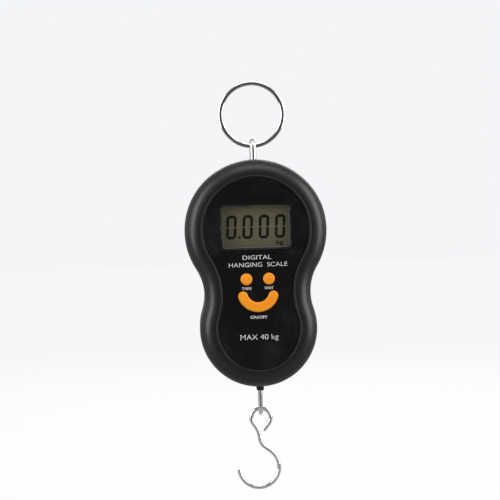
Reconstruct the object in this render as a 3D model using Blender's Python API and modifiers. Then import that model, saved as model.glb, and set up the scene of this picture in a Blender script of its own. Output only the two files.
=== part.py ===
"""Portable digital hanging scale for weighing fish.

A double-lobed casing hangs by a wire link from a split ring and carries an S-hook on a second link. Inside, a flat
load cell joins the two links, and a circuit board behind the face drives the display.

The origin is the ring's inner top, where a finger or a peg carries it. +Z is up and the face looks along -Y.
Sizes are in millimetres, and the helpers turn them into metres.
"""

import math

import bmesh
import bpy
from mathutils import Matrix

MM = 0.001
GAP = 0.3  # left between pieces that touch

# Casing outline: two round lobes joined by a hollow waist on each side
UPPER_RADIUS = 34.3
LOWER_RADIUS = 28.4
LOBE_SPACING = 47.3
WAIST_RADIUS = 24.3

# Casing depth, along Y from the face to the back
FRONT_Y = -13.3
BACK_Y = 15.2
PARTING_Y = 1.0
LIP_INSET = 0.85  # outer face of the rear shell's lip, less its gap
WALL = 2.0
FACE_FLOOR_Y = -12.0  # bottom of the recess that holds the face panel
FACE_INSIDE_Y = -10.6
FRONT_ROUNDING = 7.5
BACK_ROUNDING = 5.0
PANEL_INSET = 9.1
PANEL_FRONT_Y = -13.0
PANEL_BACK_Y = FACE_FLOOR_Y - GAP

# Split ring
RING_INNER = 14.1
RING_RADIAL = 2.0
COIL_THICK = 0.95
COIL_PITCH = 1.05
RING_JOG_AT = math.radians(238)  # where the coil steps from its first turn to its second
RING_JOG_HALF = math.radians(15)

# Wire links and hook
TOP_WIRE = 1.5  # radius at the arch
TOP_WIRE_INSIDE = 1.15  # radius where it enters the casing
TOP_BEND = 4.2
TOP_SHOWS = 10.9  # height above the casing
LOW_WIRE = 1.0
LOW_BEND = 3.0
LOW_SHOWS = 14.7
HOOK_WIRE = 1.0
HOOK_GAP = 0.2

# Load cell
CELL_HALF = 1.5
CELL_TOP_HOLE = 16.0
CELL_LOW_HOLE = -50.0

# Face layout, heights from the centre of the upper lobe
WINDOW = (33.4, 21.2)
WINDOW_Z = 1.8
KEY_SIDE = 5.4
KEY_Z = -23.1
KEY_RADIUS = 2.8
ARC_KEY_Z = -29.0
ARC_KEY_RADIUS = 7.6
ARC_KEY_WIDTH = 4.7
ARC_KEY_HALF = math.radians(73)
KEY_CLEARANCE = 0.35
KEY_FRONT_Y = -13.9
KEY_BACK_Y = -9.8
FLANGE_FRONT_Y = FACE_INSIDE_Y + GAP

# Screw posts, pilots and heads, as radii
BOARD_POST, BOARD_PILOT = 2.7, 1.3
CASE_POST, CASE_PILOT, SCREW_POST, HEAD_HOLE = 3.0, 1.6, 3.6, 2.9
CELL_POST, CELL_PILOT = 3.0, 1.5
HEAD_DEPTH = 3.0  # how far the case screws' heads sit below the back

# Slots in the casing for the two links, as half widths along X and Y
TOP_SLOT = (1.6, 5.8)
LOW_SLOT = (2.05, 5.2)

# Circuit board
BOARD_FRONT_Y = -5.4
BOARD_BACK_Y = -3.8
SWITCH_SIDE = 6.0
SWITCH_FRONT_Y = -9.0
BOARD_SCREWS = [(-24.0, 13.0), (24.0, 13.0), (-13.5, -41.5), (13.5, -41.5)]
CASE_SCREWS = [(-16.8, 21.2), (16.8, 21.2), (-14.5, -60.5), (14.5, -60.5)]
CELL_SCREWS = [(-9.2, CELL_TOP_HOLE), (9.2, CELL_TOP_HOLE)]

# Battery bay, two AAA cells side by side
BATTERY_RADIUS = 5.1
BATTERY_LENGTH = 44.5
BATTERY_X = 5.5
BAY_HALF = 11.4
BAY_WALL = 2.5
BAY_FLOOR_Y = 1.8
BAY_TOP = 5.8
BAY_BOTTOM = -43.8
SEAT_Y = 13.05
CONTACT_THICK = 0.4
DOOR_HALF = 12.9
DOOR_TOP = 7.3
DOOR_BOTTOM = -45.3

RING_MIDDLE = RING_INNER + RING_RADIAL / 2
RING_Z = -RING_INNER
RING_LOW_Z = RING_Z - RING_MIDDLE
ARCH_Z = RING_Z - RING_INNER + 0.35 + TOP_WIRE  # the link's arch stands on the ring's wire
CASE_TOP = ARCH_Z + TOP_WIRE - TOP_SHOWS
FACE_Z = CASE_TOP - UPPER_RADIUS
CASE_BOTTOM = FACE_Z - LOBE_SPACING - LOWER_RADIUS
PIVOT_Z = CASE_BOTTOM - LOW_SHOWS + LOW_WIRE

PLASTIC_BLACK = ("casing_black", (0.020, 0.020, 0.022), 0.38, 0.0)
GLOSS_BLACK = ("face_gloss_black", (0.008, 0.008, 0.010), 0.10, 0.0)
CLEAR = ("window_clear", (0.30, 0.30, 0.25), 0.05, 0.0)
DISPLAY = ("display_olive", (0.16, 0.15, 0.08), 0.25, 0.0)
ORANGE = ("key_orange", (0.95, 0.36, 0.03), 0.40, 0.0)
CHROME = ("chrome_wire", (0.80, 0.80, 0.80), 0.08, 1.0)
STEEL = ("plain_steel", (0.55, 0.55, 0.55), 0.35, 1.0)
ALUMINIUM = ("cell_aluminium", (0.70, 0.70, 0.71), 0.40, 1.0)
BOARD_GREEN = ("board_green", (0.02, 0.18, 0.06), 0.45, 0.0)
RUBBER = ("soft_rubber", (0.03, 0.03, 0.03), 0.80, 0.0)
WHITE_PLASTIC = ("inner_white", (0.75, 0.75, 0.72), 0.50, 0.0)
RESIN = ("resin_black", (0.015, 0.015, 0.015), 0.30, 0.0)
FOIL = ("gauge_foil", (0.80, 0.55, 0.20), 0.45, 0.0)
JACKET = ("battery_jacket", (0.30, 0.32, 0.35), 0.35, 0.4)
LEAD_RED = ("lead_red", (0.60, 0.03, 0.02), 0.50, 0.0)
LEAD_DARK = ("lead_black", (0.02, 0.02, 0.02), 0.50, 0.0)


def clear_scene():
    for thing in list(bpy.data.objects):
        bpy.data.objects.remove(thing, do_unlink=True)


def make_collection(name):
    group = bpy.data.collections.new(name)
    bpy.context.scene.collection.children.link(group)
    return group


def finish_of(spec):
    name, colour, roughness, metallic = spec
    found = bpy.data.materials.get(name)
    if found:
        return found
    made = bpy.data.materials.new(name)
    made.use_nodes = True
    shader = made.node_tree.nodes["Principled BSDF"]
    shader.inputs["Base Color"].default_value = (*colour, 1.0)
    shader.inputs["Roughness"].default_value = roughness
    shader.inputs["Metallic"].default_value = metallic
    return made


def add(name, data, spec=None):
    """Links new data as an object: a part when it has a finish, a hidden cutter when it has none."""
    thing = bpy.data.objects.new(name, data)
    if spec:
        PARTS.objects.link(thing)
        data.materials.append(finish_of(spec))
    else:
        CUTTERS.objects.link(thing)
        thing.hide_render = True
        thing.display_type = "WIRE"
    return thing


def mesh_of(curve_object, spec):
    """A curve's solid as a mesh with its caps welded, in place of the curve."""
    bpy.context.view_layer.update()
    graph = bpy.context.evaluated_depsgraph_get()
    mesh = bpy.data.meshes.new_from_object(curve_object.evaluated_get(graph))
    work = bmesh.new()
    work.from_mesh(mesh)
    bmesh.ops.remove_doubles(work, verts=work.verts, dist=1e-5)
    bmesh.ops.dissolve_limit(work, angle_limit=math.radians(1), verts=work.verts, edges=work.edges)
    bmesh.ops.recalc_face_normals(work, faces=work.faces)
    work.to_mesh(mesh)
    work.free()
    name, place = curve_object.name, curve_object.matrix_world.copy()
    bpy.data.objects.remove(curve_object, do_unlink=True)
    mesh.materials.clear()
    thing = add(name, mesh, spec)
    thing.matrix_world = place
    return thing


def plate(name, outlines, front, back, spec=None):
    """A flat piece from y=front to y=back. The first outline is its edge and any others are holes, as (x, z) points."""
    curve = bpy.data.curves.new(name, "CURVE")
    curve.dimensions = "2D"
    curve.fill_mode = "BOTH"
    curve.extrude = (back - front) / 2 * MM
    for outline in outlines:
        spline = curve.splines.new("POLY")
        spline.points.add(len(outline) - 1)
        for point, (x, z) in zip(spline.points, outline):
            point.co = (x * MM, z * MM, 0, 1)
        spline.use_cyclic_u = True
    thing = add(name, curve)
    thing.matrix_world = Matrix.Translation((0, (front + back) / 2 * MM, 0)) @ Matrix.Rotation(math.pi / 2, 4, "X")
    return mesh_of(thing, spec)


def box(name, low, high, spec=None):
    work = bmesh.new()
    size = [(b - a) * MM for a, b in zip(low, high)]
    middle = [(a + b) / 2 * MM for a, b in zip(low, high)]
    bmesh.ops.create_cube(work, size=1.0, matrix=Matrix.Translation(middle) @ Matrix.Diagonal((*size, 1)))
    mesh = bpy.data.meshes.new(name)
    work.to_mesh(mesh)
    work.free()
    return add(name, mesh, spec)


def rod(name, middle, radius, front, back, spec=None, sides=14):
    """A cylinder along Y at (x, z), from y=front to y=back."""
    work = bmesh.new()
    x, z = middle
    place = Matrix.Translation((x * MM, (front + back) / 2 * MM, z * MM)) @ Matrix.Rotation(math.pi / 2, 4, "X")
    bmesh.ops.create_cone(
        work,
        cap_ends=True,
        segments=sides,
        radius1=radius * MM,
        radius2=radius * MM,
        depth=(back - front) * MM,
        matrix=place,
    )
    mesh = bpy.data.meshes.new(name)
    work.to_mesh(mesh)
    work.free()
    mesh.shade_smooth()
    mesh.set_sharp_from_angle(angle=math.radians(40))
    return add(name, mesh, spec)


def turned(name, profile, spec, place, steps=20):
    """A turned piece: its profile as (radius, height) runs down the outer side, about the local Z axis."""
    mesh = bpy.data.meshes.new(name)
    points = [(radius * MM, 0, height * MM) for radius, height in profile]
    mesh.from_pydata(points, [(i, i + 1) for i in range(len(points) - 1)], [])
    thing = add(name, mesh, spec)
    thing.matrix_world = place
    screw = thing.modifiers.new("turn", "SCREW")
    screw.steps = screw.render_steps = steps
    screw.use_merge_vertices = True
    screw.merge_threshold = 1e-6
    return thing


def wire(name, path, radius, spec, closed=False, thickness=None, resolution=2):
    """A round wire along path, points as (x, y, z). thickness scales the radius at each point."""
    curve = bpy.data.curves.new(name, "CURVE")
    curve.dimensions = "3D"
    curve.bevel_depth = radius * MM
    curve.bevel_resolution = resolution
    curve.use_fill_caps = not closed
    spline = curve.splines.new("POLY")
    spline.points.add(len(path) - 1)
    for i, (point, place) in enumerate(zip(spline.points, path)):
        point.co = (*(value * MM for value in place), 1)
        point.radius = thickness[i] if thickness else 1.0
    spline.use_cyclic_u = closed
    spline.use_smooth = True
    return add(name, curve, spec)


def change(target, other, operation="DIFFERENCE"):
    step = target.modifiers.new(other.name, "BOOLEAN")
    step.operation = operation
    step.object = other


def round_edges(thing, width, segments):
    bevel = thing.modifiers.new("rounding", "BEVEL")
    bevel.width = width * MM
    bevel.segments = segments
    bevel.limit_method = "ANGLE"
    bevel.angle_limit = math.radians(50)


def facing(x, y, z, back=False):
    """Turns local +Z to face the front, or the back, at a point."""
    turn = -math.pi / 2 if back else math.pi / 2
    return Matrix.Translation((x * MM, y * MM, z * MM)) @ Matrix.Rotation(turn, 4, "X")


def arc(middle, radius, start, end, step=math.radians(9)):
    """Points along an arc, both ends included."""
    count = max(2, round(abs(end - start) / step))
    angles = [start + (end - start) * i / count for i in range(count + 1)]
    return [(middle[0] + radius * math.cos(a), middle[1] + radius * math.sin(a)) for a in angles]


def circle(middle, radius, count=20):
    return arc(middle, radius, 0, math.tau, math.tau / count)[:-1]


def casing_outline(inset):
    """The double-lobed outline, moved inwards by inset. All its stretches are arcs about fixed centres."""
    upper_reach = UPPER_RADIUS + WAIST_RADIUS
    lower_reach = LOWER_RADIUS + WAIST_RADIUS
    waist_z = (lower_reach**2 - upper_reach**2 - LOBE_SPACING**2) / (2 * LOBE_SPACING)
    waist_x = math.sqrt(upper_reach**2 - waist_z**2)
    upper_meet = math.atan2(waist_z, waist_x)
    lower_meet = math.atan2(waist_z + LOBE_SPACING, waist_x)
    right = arc((0, 0), UPPER_RADIUS - inset, math.pi / 2, upper_meet)
    right += arc((waist_x, waist_z), WAIST_RADIUS + inset, math.pi + upper_meet, math.pi + lower_meet)[1:-1]
    right += arc((0, -LOBE_SPACING), LOWER_RADIUS - inset, lower_meet, -math.pi / 2)
    left = [(-x, z) for x, z in reversed(right[1:-1])]
    return [(x, z + FACE_Z) for x, z in right + left]


def rounded_rectangle(middle_z, width, height, radius):
    x, z = width / 2 - radius, height / 2 - radius
    corners = [((x, z), 0), ((-x, z), 1), ((-x, -z), 2), ((x, -z), 3)]
    points = []
    for (corner_x, corner_z), quarter in corners:
        start = quarter * math.pi / 2
        points += arc((corner_x, middle_z + corner_z), radius, start, start + math.pi / 2, math.radians(30))
    return points


def arc_key_outline(width):
    """The curved key: a band of this width bent round ARC_KEY_Z, with round ends."""
    middle = (0, FACE_Z + ARC_KEY_Z)
    down = -math.pi / 2
    step = math.radians(8)
    ends = []
    for side in (1, -1):
        angle = down + side * ARC_KEY_HALF
        place = (middle[0] + ARC_KEY_RADIUS * math.cos(angle), middle[1] + ARC_KEY_RADIUS * math.sin(angle))
        start = angle if side > 0 else angle + math.pi
        ends.append(arc(place, width / 2, start, start + math.pi, math.radians(20)))
    outer = arc(middle, ARC_KEY_RADIUS + width / 2, down - ARC_KEY_HALF, down + ARC_KEY_HALF, step)
    inner = arc(middle, ARC_KEY_RADIUS - width / 2, down + ARC_KEY_HALF, down - ARC_KEY_HALF, step)
    return outer[:-1] + ends[0][:-1] + inner[:-1] + ends[1][:-1]


def slab(name, inset, front, back, rounding, segments, spec=None):
    """A block of the casing's outline with both its rims rounded."""
    thing = plate(name, [casing_outline(inset)], front, back, spec)
    round_edges(thing, rounding, segments)
    return thing


def lug(name, place, radius, front, back):
    return rod(name, (place[0], FACE_Z + place[1]), radius, front, back)


def wire_slots(target, name):
    """Cuts the two openings that the links pass through."""
    x, y = TOP_SLOT
    top = box(f"{name}_top_slot", (-x, -y, CASE_TOP - 6), (x, y, CASE_TOP + 1))
    x, y = LOW_SLOT
    bottom = box(f"{name}_low_slot", (-x, -y, CASE_BOTTOM - 1), (x, y, CASE_BOTTOM + 5))
    change(target, top)
    change(target, bottom)


def front_shell():
    shell = slab("front_shell", 0, FRONT_Y, -FRONT_Y, FRONT_ROUNDING, 4, PLASTIC_BLACK)
    change(shell, box("behind_parting", (-50, PARTING_Y - GAP / 2, FACE_Z - 90), (50, 40, FACE_Z + 50)))
    change(shell, slab("front_hollow", WALL, FACE_INSIDE_Y, -FACE_INSIDE_Y, 5, 2))
    change(shell, plate("lip_relief", [casing_outline(LIP_INSET)], PARTING_Y - 1.6, PARTING_Y + 2))
    for i, place in enumerate(BOARD_SCREWS):
        change(shell, lug(f"board_post_{i}", place, BOARD_POST, FACE_INSIDE_Y - 0.5, BOARD_FRONT_Y - GAP), "UNION")
        change(shell, lug(f"board_pilot_{i}", place, BOARD_PILOT, -9.6, 0))
    for i, place in enumerate(CASE_SCREWS):
        change(shell, lug(f"case_post_{i}", place, CASE_POST, FACE_INSIDE_Y - 0.5, PARTING_Y + GAP), "UNION")
        change(shell, lug(f"case_pilot_{i}", place, CASE_PILOT, -4, PARTING_Y + 1))
    change(shell, plate("panel_recess", [casing_outline(PANEL_INSET - GAP)], FRONT_Y - 1, FACE_FLOOR_Y))
    width, height = WINDOW
    opening = rounded_rectangle(FACE_Z + WINDOW_Z, width - 1.4, height - 1.4, 1.0)
    change(shell, plate("window_opening", [opening], FRONT_Y - 1, FACE_INSIDE_Y + 1))
    for side in (-1, 1):
        change(shell, lug(f"key_opening_{side + 1}", (side * KEY_SIDE, KEY_Z), KEY_RADIUS + KEY_CLEARANCE, FRONT_Y, -9))
    change(shell, plate("arc_key_opening", [arc_key_outline(ARC_KEY_WIDTH + 2 * KEY_CLEARANCE)], FRONT_Y, -9))
    wire_slots(shell, "front")


def rear_shell():
    shell = slab("rear_shell", 0, -BACK_Y, BACK_Y, BACK_ROUNDING, 3, PLASTIC_BLACK)
    change(shell, box("before_parting", (-50, -40, FACE_Z - 90), (50, PARTING_Y + GAP / 2, FACE_Z + 50)))
    change(shell, slab("rear_hollow", WALL, WALL - BACK_Y, BACK_Y - WALL, 3.5, 2))
    lip_edges = [casing_outline(LIP_INSET + GAP), casing_outline(WALL + 0.5)]
    lip = plate("parting_lip", lip_edges, PARTING_Y - 1.3, PARTING_Y + 2)
    change(shell, lip, "UNION")
    outer = BAY_HALF + BAY_WALL
    top, bottom = FACE_Z + BAY_TOP, FACE_Z + BAY_BOTTOM
    tray = box("bay_walls", (-outer, BAY_FLOOR_Y, bottom - BAY_WALL), (outer, BACK_Y - 1, top + BAY_WALL))
    change(shell, tray, "UNION")
    change(shell, box("bay_hollow", (-BAY_HALF, BAY_FLOOR_Y + 0.8, bottom), (BAY_HALF, BACK_Y + 1, top)))
    seat_low = (-DOOR_HALF - GAP, SEAT_Y, FACE_Z + DOOR_BOTTOM - GAP)
    seat_high = (DOOR_HALF + GAP, BACK_Y + 1, FACE_Z + DOOR_TOP + GAP)
    change(shell, box("door_seat", seat_low, seat_high))
    for i, side in enumerate((-1, 1)):
        change(shell, box(f"hook_pocket_{i}", *hook_tab(side, GAP)))
        hole = box(f"lead_hole_{i}", (side * BATTERY_X - 1, 3.2, top - 1), (side * BATTERY_X + 1, 5.4, top + 4))
        change(shell, hole)
    for i, place in enumerate(CELL_SCREWS):
        change(shell, lug(f"cell_post_{i}", place, CELL_POST, CELL_HALF + GAP, BACK_Y - 1), "UNION")
        change(shell, lug(f"cell_pilot_{i}", place, CELL_PILOT, 0, 10))
    for i, place in enumerate(CASE_SCREWS):
        change(shell, lug(f"screw_post_{i}", place, SCREW_POST, PARTING_Y + 0.8, BACK_Y - 1), "UNION")
        change(shell, lug(f"screw_hole_{i}", place, CASE_PILOT, PARTING_Y, BACK_Y))
        change(shell, lug(f"screw_head_hole_{i}", place, HEAD_HOLE, BACK_Y - HEAD_DEPTH, BACK_Y + 1))
    notch = turned_dish("thumb_notch", (0, BACK_Y + 0.3, FACE_Z + DOOR_BOTTOM - 1.5))
    change(shell, notch)
    wire_slots(shell, "rear")
    for step in shell.modifiers:
        if step.type == "BOOLEAN":
            step.solver = "MANIFOLD"


def turned_dish(name, place):
    """The shallow round dip under the door's edge, where a nail goes in."""
    work = bmesh.new()
    dip = Matrix.Translation([value * MM for value in place]) @ Matrix.Diagonal((6 * MM, 1.6 * MM, 4 * MM, 1))
    bmesh.ops.create_uvsphere(work, u_segments=16, v_segments=8, radius=1.0, matrix=dip)
    mesh = bpy.data.meshes.new(name)
    work.to_mesh(mesh)
    work.free()
    return add(name, mesh)


def hook_tab(side, grow):
    """Low and high corners of one of the door's two tabs, which reach under the edge above it."""
    middle = side * 8.0
    low = (middle - 2.5 - grow, 11.6 - grow, FACE_Z + DOOR_TOP - 1.6 - grow)
    high = (middle + 2.5 + grow, SEAT_Y - GAP + 1.5 * grow, FACE_Z + DOOR_TOP + 1.2 + grow)
    return low, high


def battery_door():
    low = (-DOOR_HALF, SEAT_Y + GAP, FACE_Z + DOOR_BOTTOM)
    high = (DOOR_HALF, BACK_Y, FACE_Z + DOOR_TOP)
    door = box("battery_door", low, high, PLASTIC_BLACK)
    for i, side in enumerate((-1, 1)):
        (x0, y0, z0), (x1, y1, z1) = hook_tab(side, 0)
        change(door, box(f"door_tab_{i}", (x0, y0, z0), (x1, y1, z1)), "UNION")
        stem = box(f"door_stem_{i}", (x0, y0, z0), (x1, SEAT_Y + GAP + 0.5, z0 + 1.3))
        change(door, stem, "UNION")
    for i in range(5):
        z = FACE_Z + DOOR_BOTTOM + 4 + 1.8 * i
        change(door, box(f"grip_rib_{i}", (-6, BACK_Y - 0.5, z), (6, BACK_Y + 0.4, z + 0.8)), "UNION")
    tongue = (-3, 10.2, FACE_Z + BAY_BOTTOM + 0.4), (3, SEAT_Y + GAP + 0.5, FACE_Z + BAY_BOTTOM + 1.4)
    change(door, box("door_tongue", *tongue), "UNION")


def face():
    width, height = WINDOW
    hole = rounded_rectangle(FACE_Z + WINDOW_Z, width + 0.6, height + 0.6, 1.3)
    keys = [circle((side * KEY_SIDE, FACE_Z + KEY_Z), KEY_RADIUS + KEY_CLEARANCE) for side in (-1, 1)]
    outlines = [casing_outline(PANEL_INSET), hole, *keys, arc_key_outline(ARC_KEY_WIDTH + 2 * KEY_CLEARANCE)]
    plate("face_panel", outlines, PANEL_FRONT_Y, PANEL_BACK_Y, GLOSS_BLACK)
    lens = rounded_rectangle(FACE_Z + WINDOW_Z, width, height, 1.0)
    plate("display_window", [lens], PANEL_FRONT_Y, PANEL_BACK_Y, CLEAR)


def display():
    z = FACE_Z + WINDOW_Z
    holder = plate(
        "display_holder",
        [rounded_rectangle(z, 41, 26.4, 1.0), rounded_rectangle(z, 31.6, 19.4, 0.6)],
        FACE_INSIDE_Y + GAP,
        BOARD_FRONT_Y - GAP,
        WHITE_PLASTIC,
    )
    change(holder, box("holder_pocket", (-18.5, -9.5, z - 12.5), (18.5, 0, z + 12.5)))
    box("display_glass", (-18.2, -9.2, z - 12.2), (18.2, -7.6, z + 12.2), DISPLAY)
    box("zebra_strip", (-17, -7.3, z - 11.4), (17, BOARD_FRONT_Y - GAP, z - 9.4), RUBBER)


def board():
    half = [(27, 15.6), (27, -13), (17, -15), (17, -45)]
    edge = [(x, z + FACE_Z) for x, z in half] + [(-x, z + FACE_Z) for x, z in reversed(half)]
    holes = [circle((x, FACE_Z + z), 1.4) for x, z in BOARD_SCREWS]
    plate("circuit_board", [edge, *holes], BOARD_FRONT_Y, BOARD_BACK_Y, BOARD_GREEN)
    blob = [(0, 1.2), (3, 1.1), (5, 0.7), (6, 0.25), (6, 0), (0, 0)]
    turned("controller_chip", blob, RESIN, facing(0, BOARD_BACK_Y + GAP, FACE_Z + 3, back=True))
    head = [(0, 1.4), (1.7, 1.4), (2.1, 1.0), (2.1, 0), (1.0, 0), (1.0, -4.9), (0, -5.6)]
    for i, (x, z) in enumerate(BOARD_SCREWS):
        place = facing(x, BOARD_BACK_Y + GAP, FACE_Z + z, back=True)
        turned(f"board_screw_{i + 1}", head, STEEL, place, 12)


def switches():
    places = {"tare": (-KEY_SIDE, KEY_Z), "unit": (KEY_SIDE, KEY_Z), "power": (0, ARC_KEY_Z - ARC_KEY_RADIUS)}
    half = SWITCH_SIDE / 2
    for name, (x, z) in places.items():
        low = (x - half, SWITCH_FRONT_Y, FACE_Z + z - half)
        high = (x + half, BOARD_FRONT_Y - GAP, FACE_Z + z + half)
        switch = box(f"{name}_switch", low, high, RESIN)
        change(switch, lug(f"{name}_switch_bore", (x, z), 1.8, SWITCH_FRONT_Y - 1, SWITCH_FRONT_Y + 1.8))
        rod(f"{name}_plunger", (x, FACE_Z + z), 1.5, KEY_BACK_Y + GAP, SWITCH_FRONT_Y + 0.8, WHITE_PLASTIC, 16)


def keys():
    depth = KEY_BACK_Y - KEY_FRONT_Y
    flange = KEY_BACK_Y - FLANGE_FRONT_Y
    cap = [(0, depth), (1.9, depth - 0.08), (2.5, depth - 0.3), (KEY_RADIUS, depth - 0.8)]
    cap += [(KEY_RADIUS, flange), (4.0, flange), (4.0, 0), (0, 0)]
    for name, side in (("tare", -1), ("unit", 1)):
        turned(f"{name}_button", cap, ORANGE, facing(side * KEY_SIDE, KEY_BACK_Y, FACE_Z + KEY_Z))
    power = plate("power_button", [arc_key_outline(ARC_KEY_WIDTH)], KEY_FRONT_Y, KEY_BACK_Y, ORANGE)
    round_edges(power, 0.5, 2)
    rim = plate("power_flange", [arc_key_outline(ARC_KEY_WIDTH + 2)], FLANGE_FRONT_Y, KEY_BACK_Y)
    change(power, rim, "UNION")


def load_cell():
    """A flat S-type cell: two slots from opposite sides leave the thin bridge that the gauge is bonded to."""
    head, stem = 12.4, 6.5
    top, foot = CELL_TOP_HOLE + 5.5, CELL_LOW_HOLE - 5
    shoulder = CELL_TOP_HOLE - 5.5
    corners = [(head, top), (head, shoulder), (stem, shoulder - 2), (stem, foot)]
    edge = [(x, z + FACE_Z) for x, z in corners] + [(-x, z + FACE_Z) for x, z in reversed(corners)]
    holes = [circle((0, FACE_Z + CELL_TOP_HOLE), 2.2), circle((0, FACE_Z + CELL_LOW_HOLE), 2.0)]
    holes += [circle((x, FACE_Z + z), 1.7, 16) for x, z in CELL_SCREWS]
    cell = plate("load_cell", [edge, *holes], -CELL_HALF, CELL_HALF, ALUMINIUM)
    for i, (side, z) in enumerate(((1, -14), (-1, -26))):
        slot = sorted((side * 2.5 - side * 5, side * 10))
        cut = box(f"cell_slot_{i}", (slot[0], -3, FACE_Z + z - 0.8), (slot[1], 3, FACE_Z + z + 0.8))
        change(cell, cut)
    low, high = (-2.6, -CELL_HALF - GAP - 0.4, FACE_Z - 23.5), (2.6, -CELL_HALF - GAP, FACE_Z - 16.5)
    box("strain_gauge", low, high, FOIL)
    shank = [(0, 1.5), (2.2, 1.5), (2.6, 1.1), (2.6, 0), (1.2, 0), (1.2, -9.6), (0, -10.4)]
    for i, (x, z) in enumerate(CELL_SCREWS):
        turned(f"load_cell_screw_{i + 1}", shank, STEEL, facing(x, -CELL_HALF - GAP, FACE_Z + z), 12)
    for i in range(4):
        x = (i - 1.5) * 1.3
        path = [(x, -2.75, -16.0), (x, -2.85, -13.0), (x * 1.2, -2.85, -9.0), (x * 1.2, -3.25, -7.4)]
        route = [(px, py, FACE_Z + pz) for px, py, pz in path]
        wire(f"gauge_wire_{i + 1}", route, 0.25, LEAD_RED if i % 2 else LEAD_DARK, resolution=1)


def case_screws():
    head = [(0, 1.9), (2.0, 1.9), (2.5, 1.4), (2.5, 0), (1.3, 0), (1.3, -14.6), (0, -15.6)]
    for i, (x, z) in enumerate(CASE_SCREWS):
        place = facing(x, BACK_Y - HEAD_DEPTH + GAP, FACE_Z + z, back=True)
        turned(f"case_screw_{i + 1}", head, STEEL, place, 14)


def battery(name, x, bottom, upside_down):
    """An AAA cell standing on bottom, its button at the top unless it is upside down."""
    radius = BATTERY_RADIUS
    shoulder = BATTERY_LENGTH - 0.9
    profile = [(0, BATTERY_LENGTH), (1.9, BATTERY_LENGTH), (1.9, shoulder), (radius - 0.4, shoulder)]
    profile += [(radius, shoulder - 0.4), (radius, 0.4), (radius - 0.4, 0), (0, 0)]
    y = BAY_FLOOR_Y + 0.8 + GAP + radius
    base = bottom + (BATTERY_LENGTH if upside_down else 0)
    place = Matrix.Translation((x * MM, y * MM, (FACE_Z + base) * MM))
    if upside_down:
        place = place @ Matrix.Rotation(math.pi, 4, "X")
    turned(name, profile, JACKET, place, 20)
    return y


def contact_spring(name, x, y, low, high):
    turns, wire_radius = 2.5, 0.25
    count = int(turns * 12)
    path = []
    for i in range(count + 1):
        share = i / count
        radius = 3.0 - 0.8 * share
        angle = math.tau * turns * share
        height = low + wire_radius + (high - low - 2 * wire_radius) * share
        path.append((x + radius * math.cos(angle), y + radius * math.sin(angle), FACE_Z + height))
    wire(name, path, wire_radius, STEEL)


def battery_bay():
    bridge_top = BAY_BOTTOM + GAP + CONTACT_THICK
    plate_low = BAY_TOP - GAP - CONTACT_THICK
    y = battery("battery_left", -BATTERY_X, plate_low - GAP - BATTERY_LENGTH, False)
    battery("battery_right", BATTERY_X, bridge_top + GAP, True)
    contact_spring("contact_spring_left", -BATTERY_X, y, bridge_top + GAP, plate_low - 2 * GAP - BATTERY_LENGTH)
    contact_spring("contact_spring_right", BATTERY_X, y, bridge_top + 2 * GAP + BATTERY_LENGTH, plate_low - GAP)
    low, high = FACE_Z + bridge_top - CONTACT_THICK, FACE_Z + bridge_top
    box("contact_bridge", (-9.5, y - 3.8, low), (9.5, y + 1.2, high), STEEL)
    low, high = FACE_Z + plate_low, FACE_Z + plate_low + CONTACT_THICK
    for name, side in (("contact_positive", -1), ("contact_negative", 1)):
        x0, x1 = sorted((side * 1.8, side * 9.4))
        box(name, (x0, y - 3.8, low), (x1, y + 3.8, high), STEEL)
    leads = (("battery_lead_positive", -1, LEAD_RED), ("battery_lead_negative", 1, LEAD_DARK))
    for name, side, spec in leads:
        path = [(5.5, 4.3, 6.2), (5.5, 4.3, 8.0), (6.6, 4.3, 9.4), (10, 4.2, 9.7), (14.0, 3.8, 9.5)]
        path += [(16.6, 2.4, 9.1), (17.4, 0.2, 8.8), (17.5, -3.3, 8.8)]
        wire(name, [(side * px, py, FACE_Z + pz) for px, py, pz in path], 0.5, spec, resolution=1)


def link_path(bend, top, bottom):
    """A closed loop of wire in the YZ plane with round ends, from the top of its upper bend to the foot of its lower."""
    step = math.radians(15)
    upper = arc((0, top - bend), bend, 0, math.pi, step)
    lower = arc((0, bottom + bend), bend, math.pi, math.tau, step)
    return [(0, y, z) for y, z in upper + lower]


def links():
    path = link_path(TOP_BEND, ARCH_Z, FACE_Z + CELL_TOP_HOLE)
    slim = TOP_WIRE_INSIDE / TOP_WIRE
    thickness = [1.0 if z > CASE_TOP else slim for _, _, z in path]
    wire("top_link", path, TOP_WIRE, CHROME, closed=True, thickness=thickness, resolution=3)
    path = link_path(LOW_BEND, FACE_Z + CELL_LOW_HOLE, PIVOT_Z)
    wire("lower_link", path, LOW_WIRE, CHROME, closed=True, resolution=3)
    low, high = (-1.7, -4.9, CASE_BOTTOM - 2.1), (1.7, 4.9, CASE_BOTTOM + 4.0)
    bush = box("lower_bush", low, high, RUBBER)
    flange = box("bush_flange", (-3.2, -6.5, CASE_BOTTOM + 3.1), (3.2, 6.5, CASE_BOTTOM + 4.1))
    change(bush, flange, "UNION")
    change(bush, box("bush_slot", (-1.25, -4.3, CASE_BOTTOM - 3), (1.25, 4.3, CASE_BOTTOM + 5)))


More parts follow.
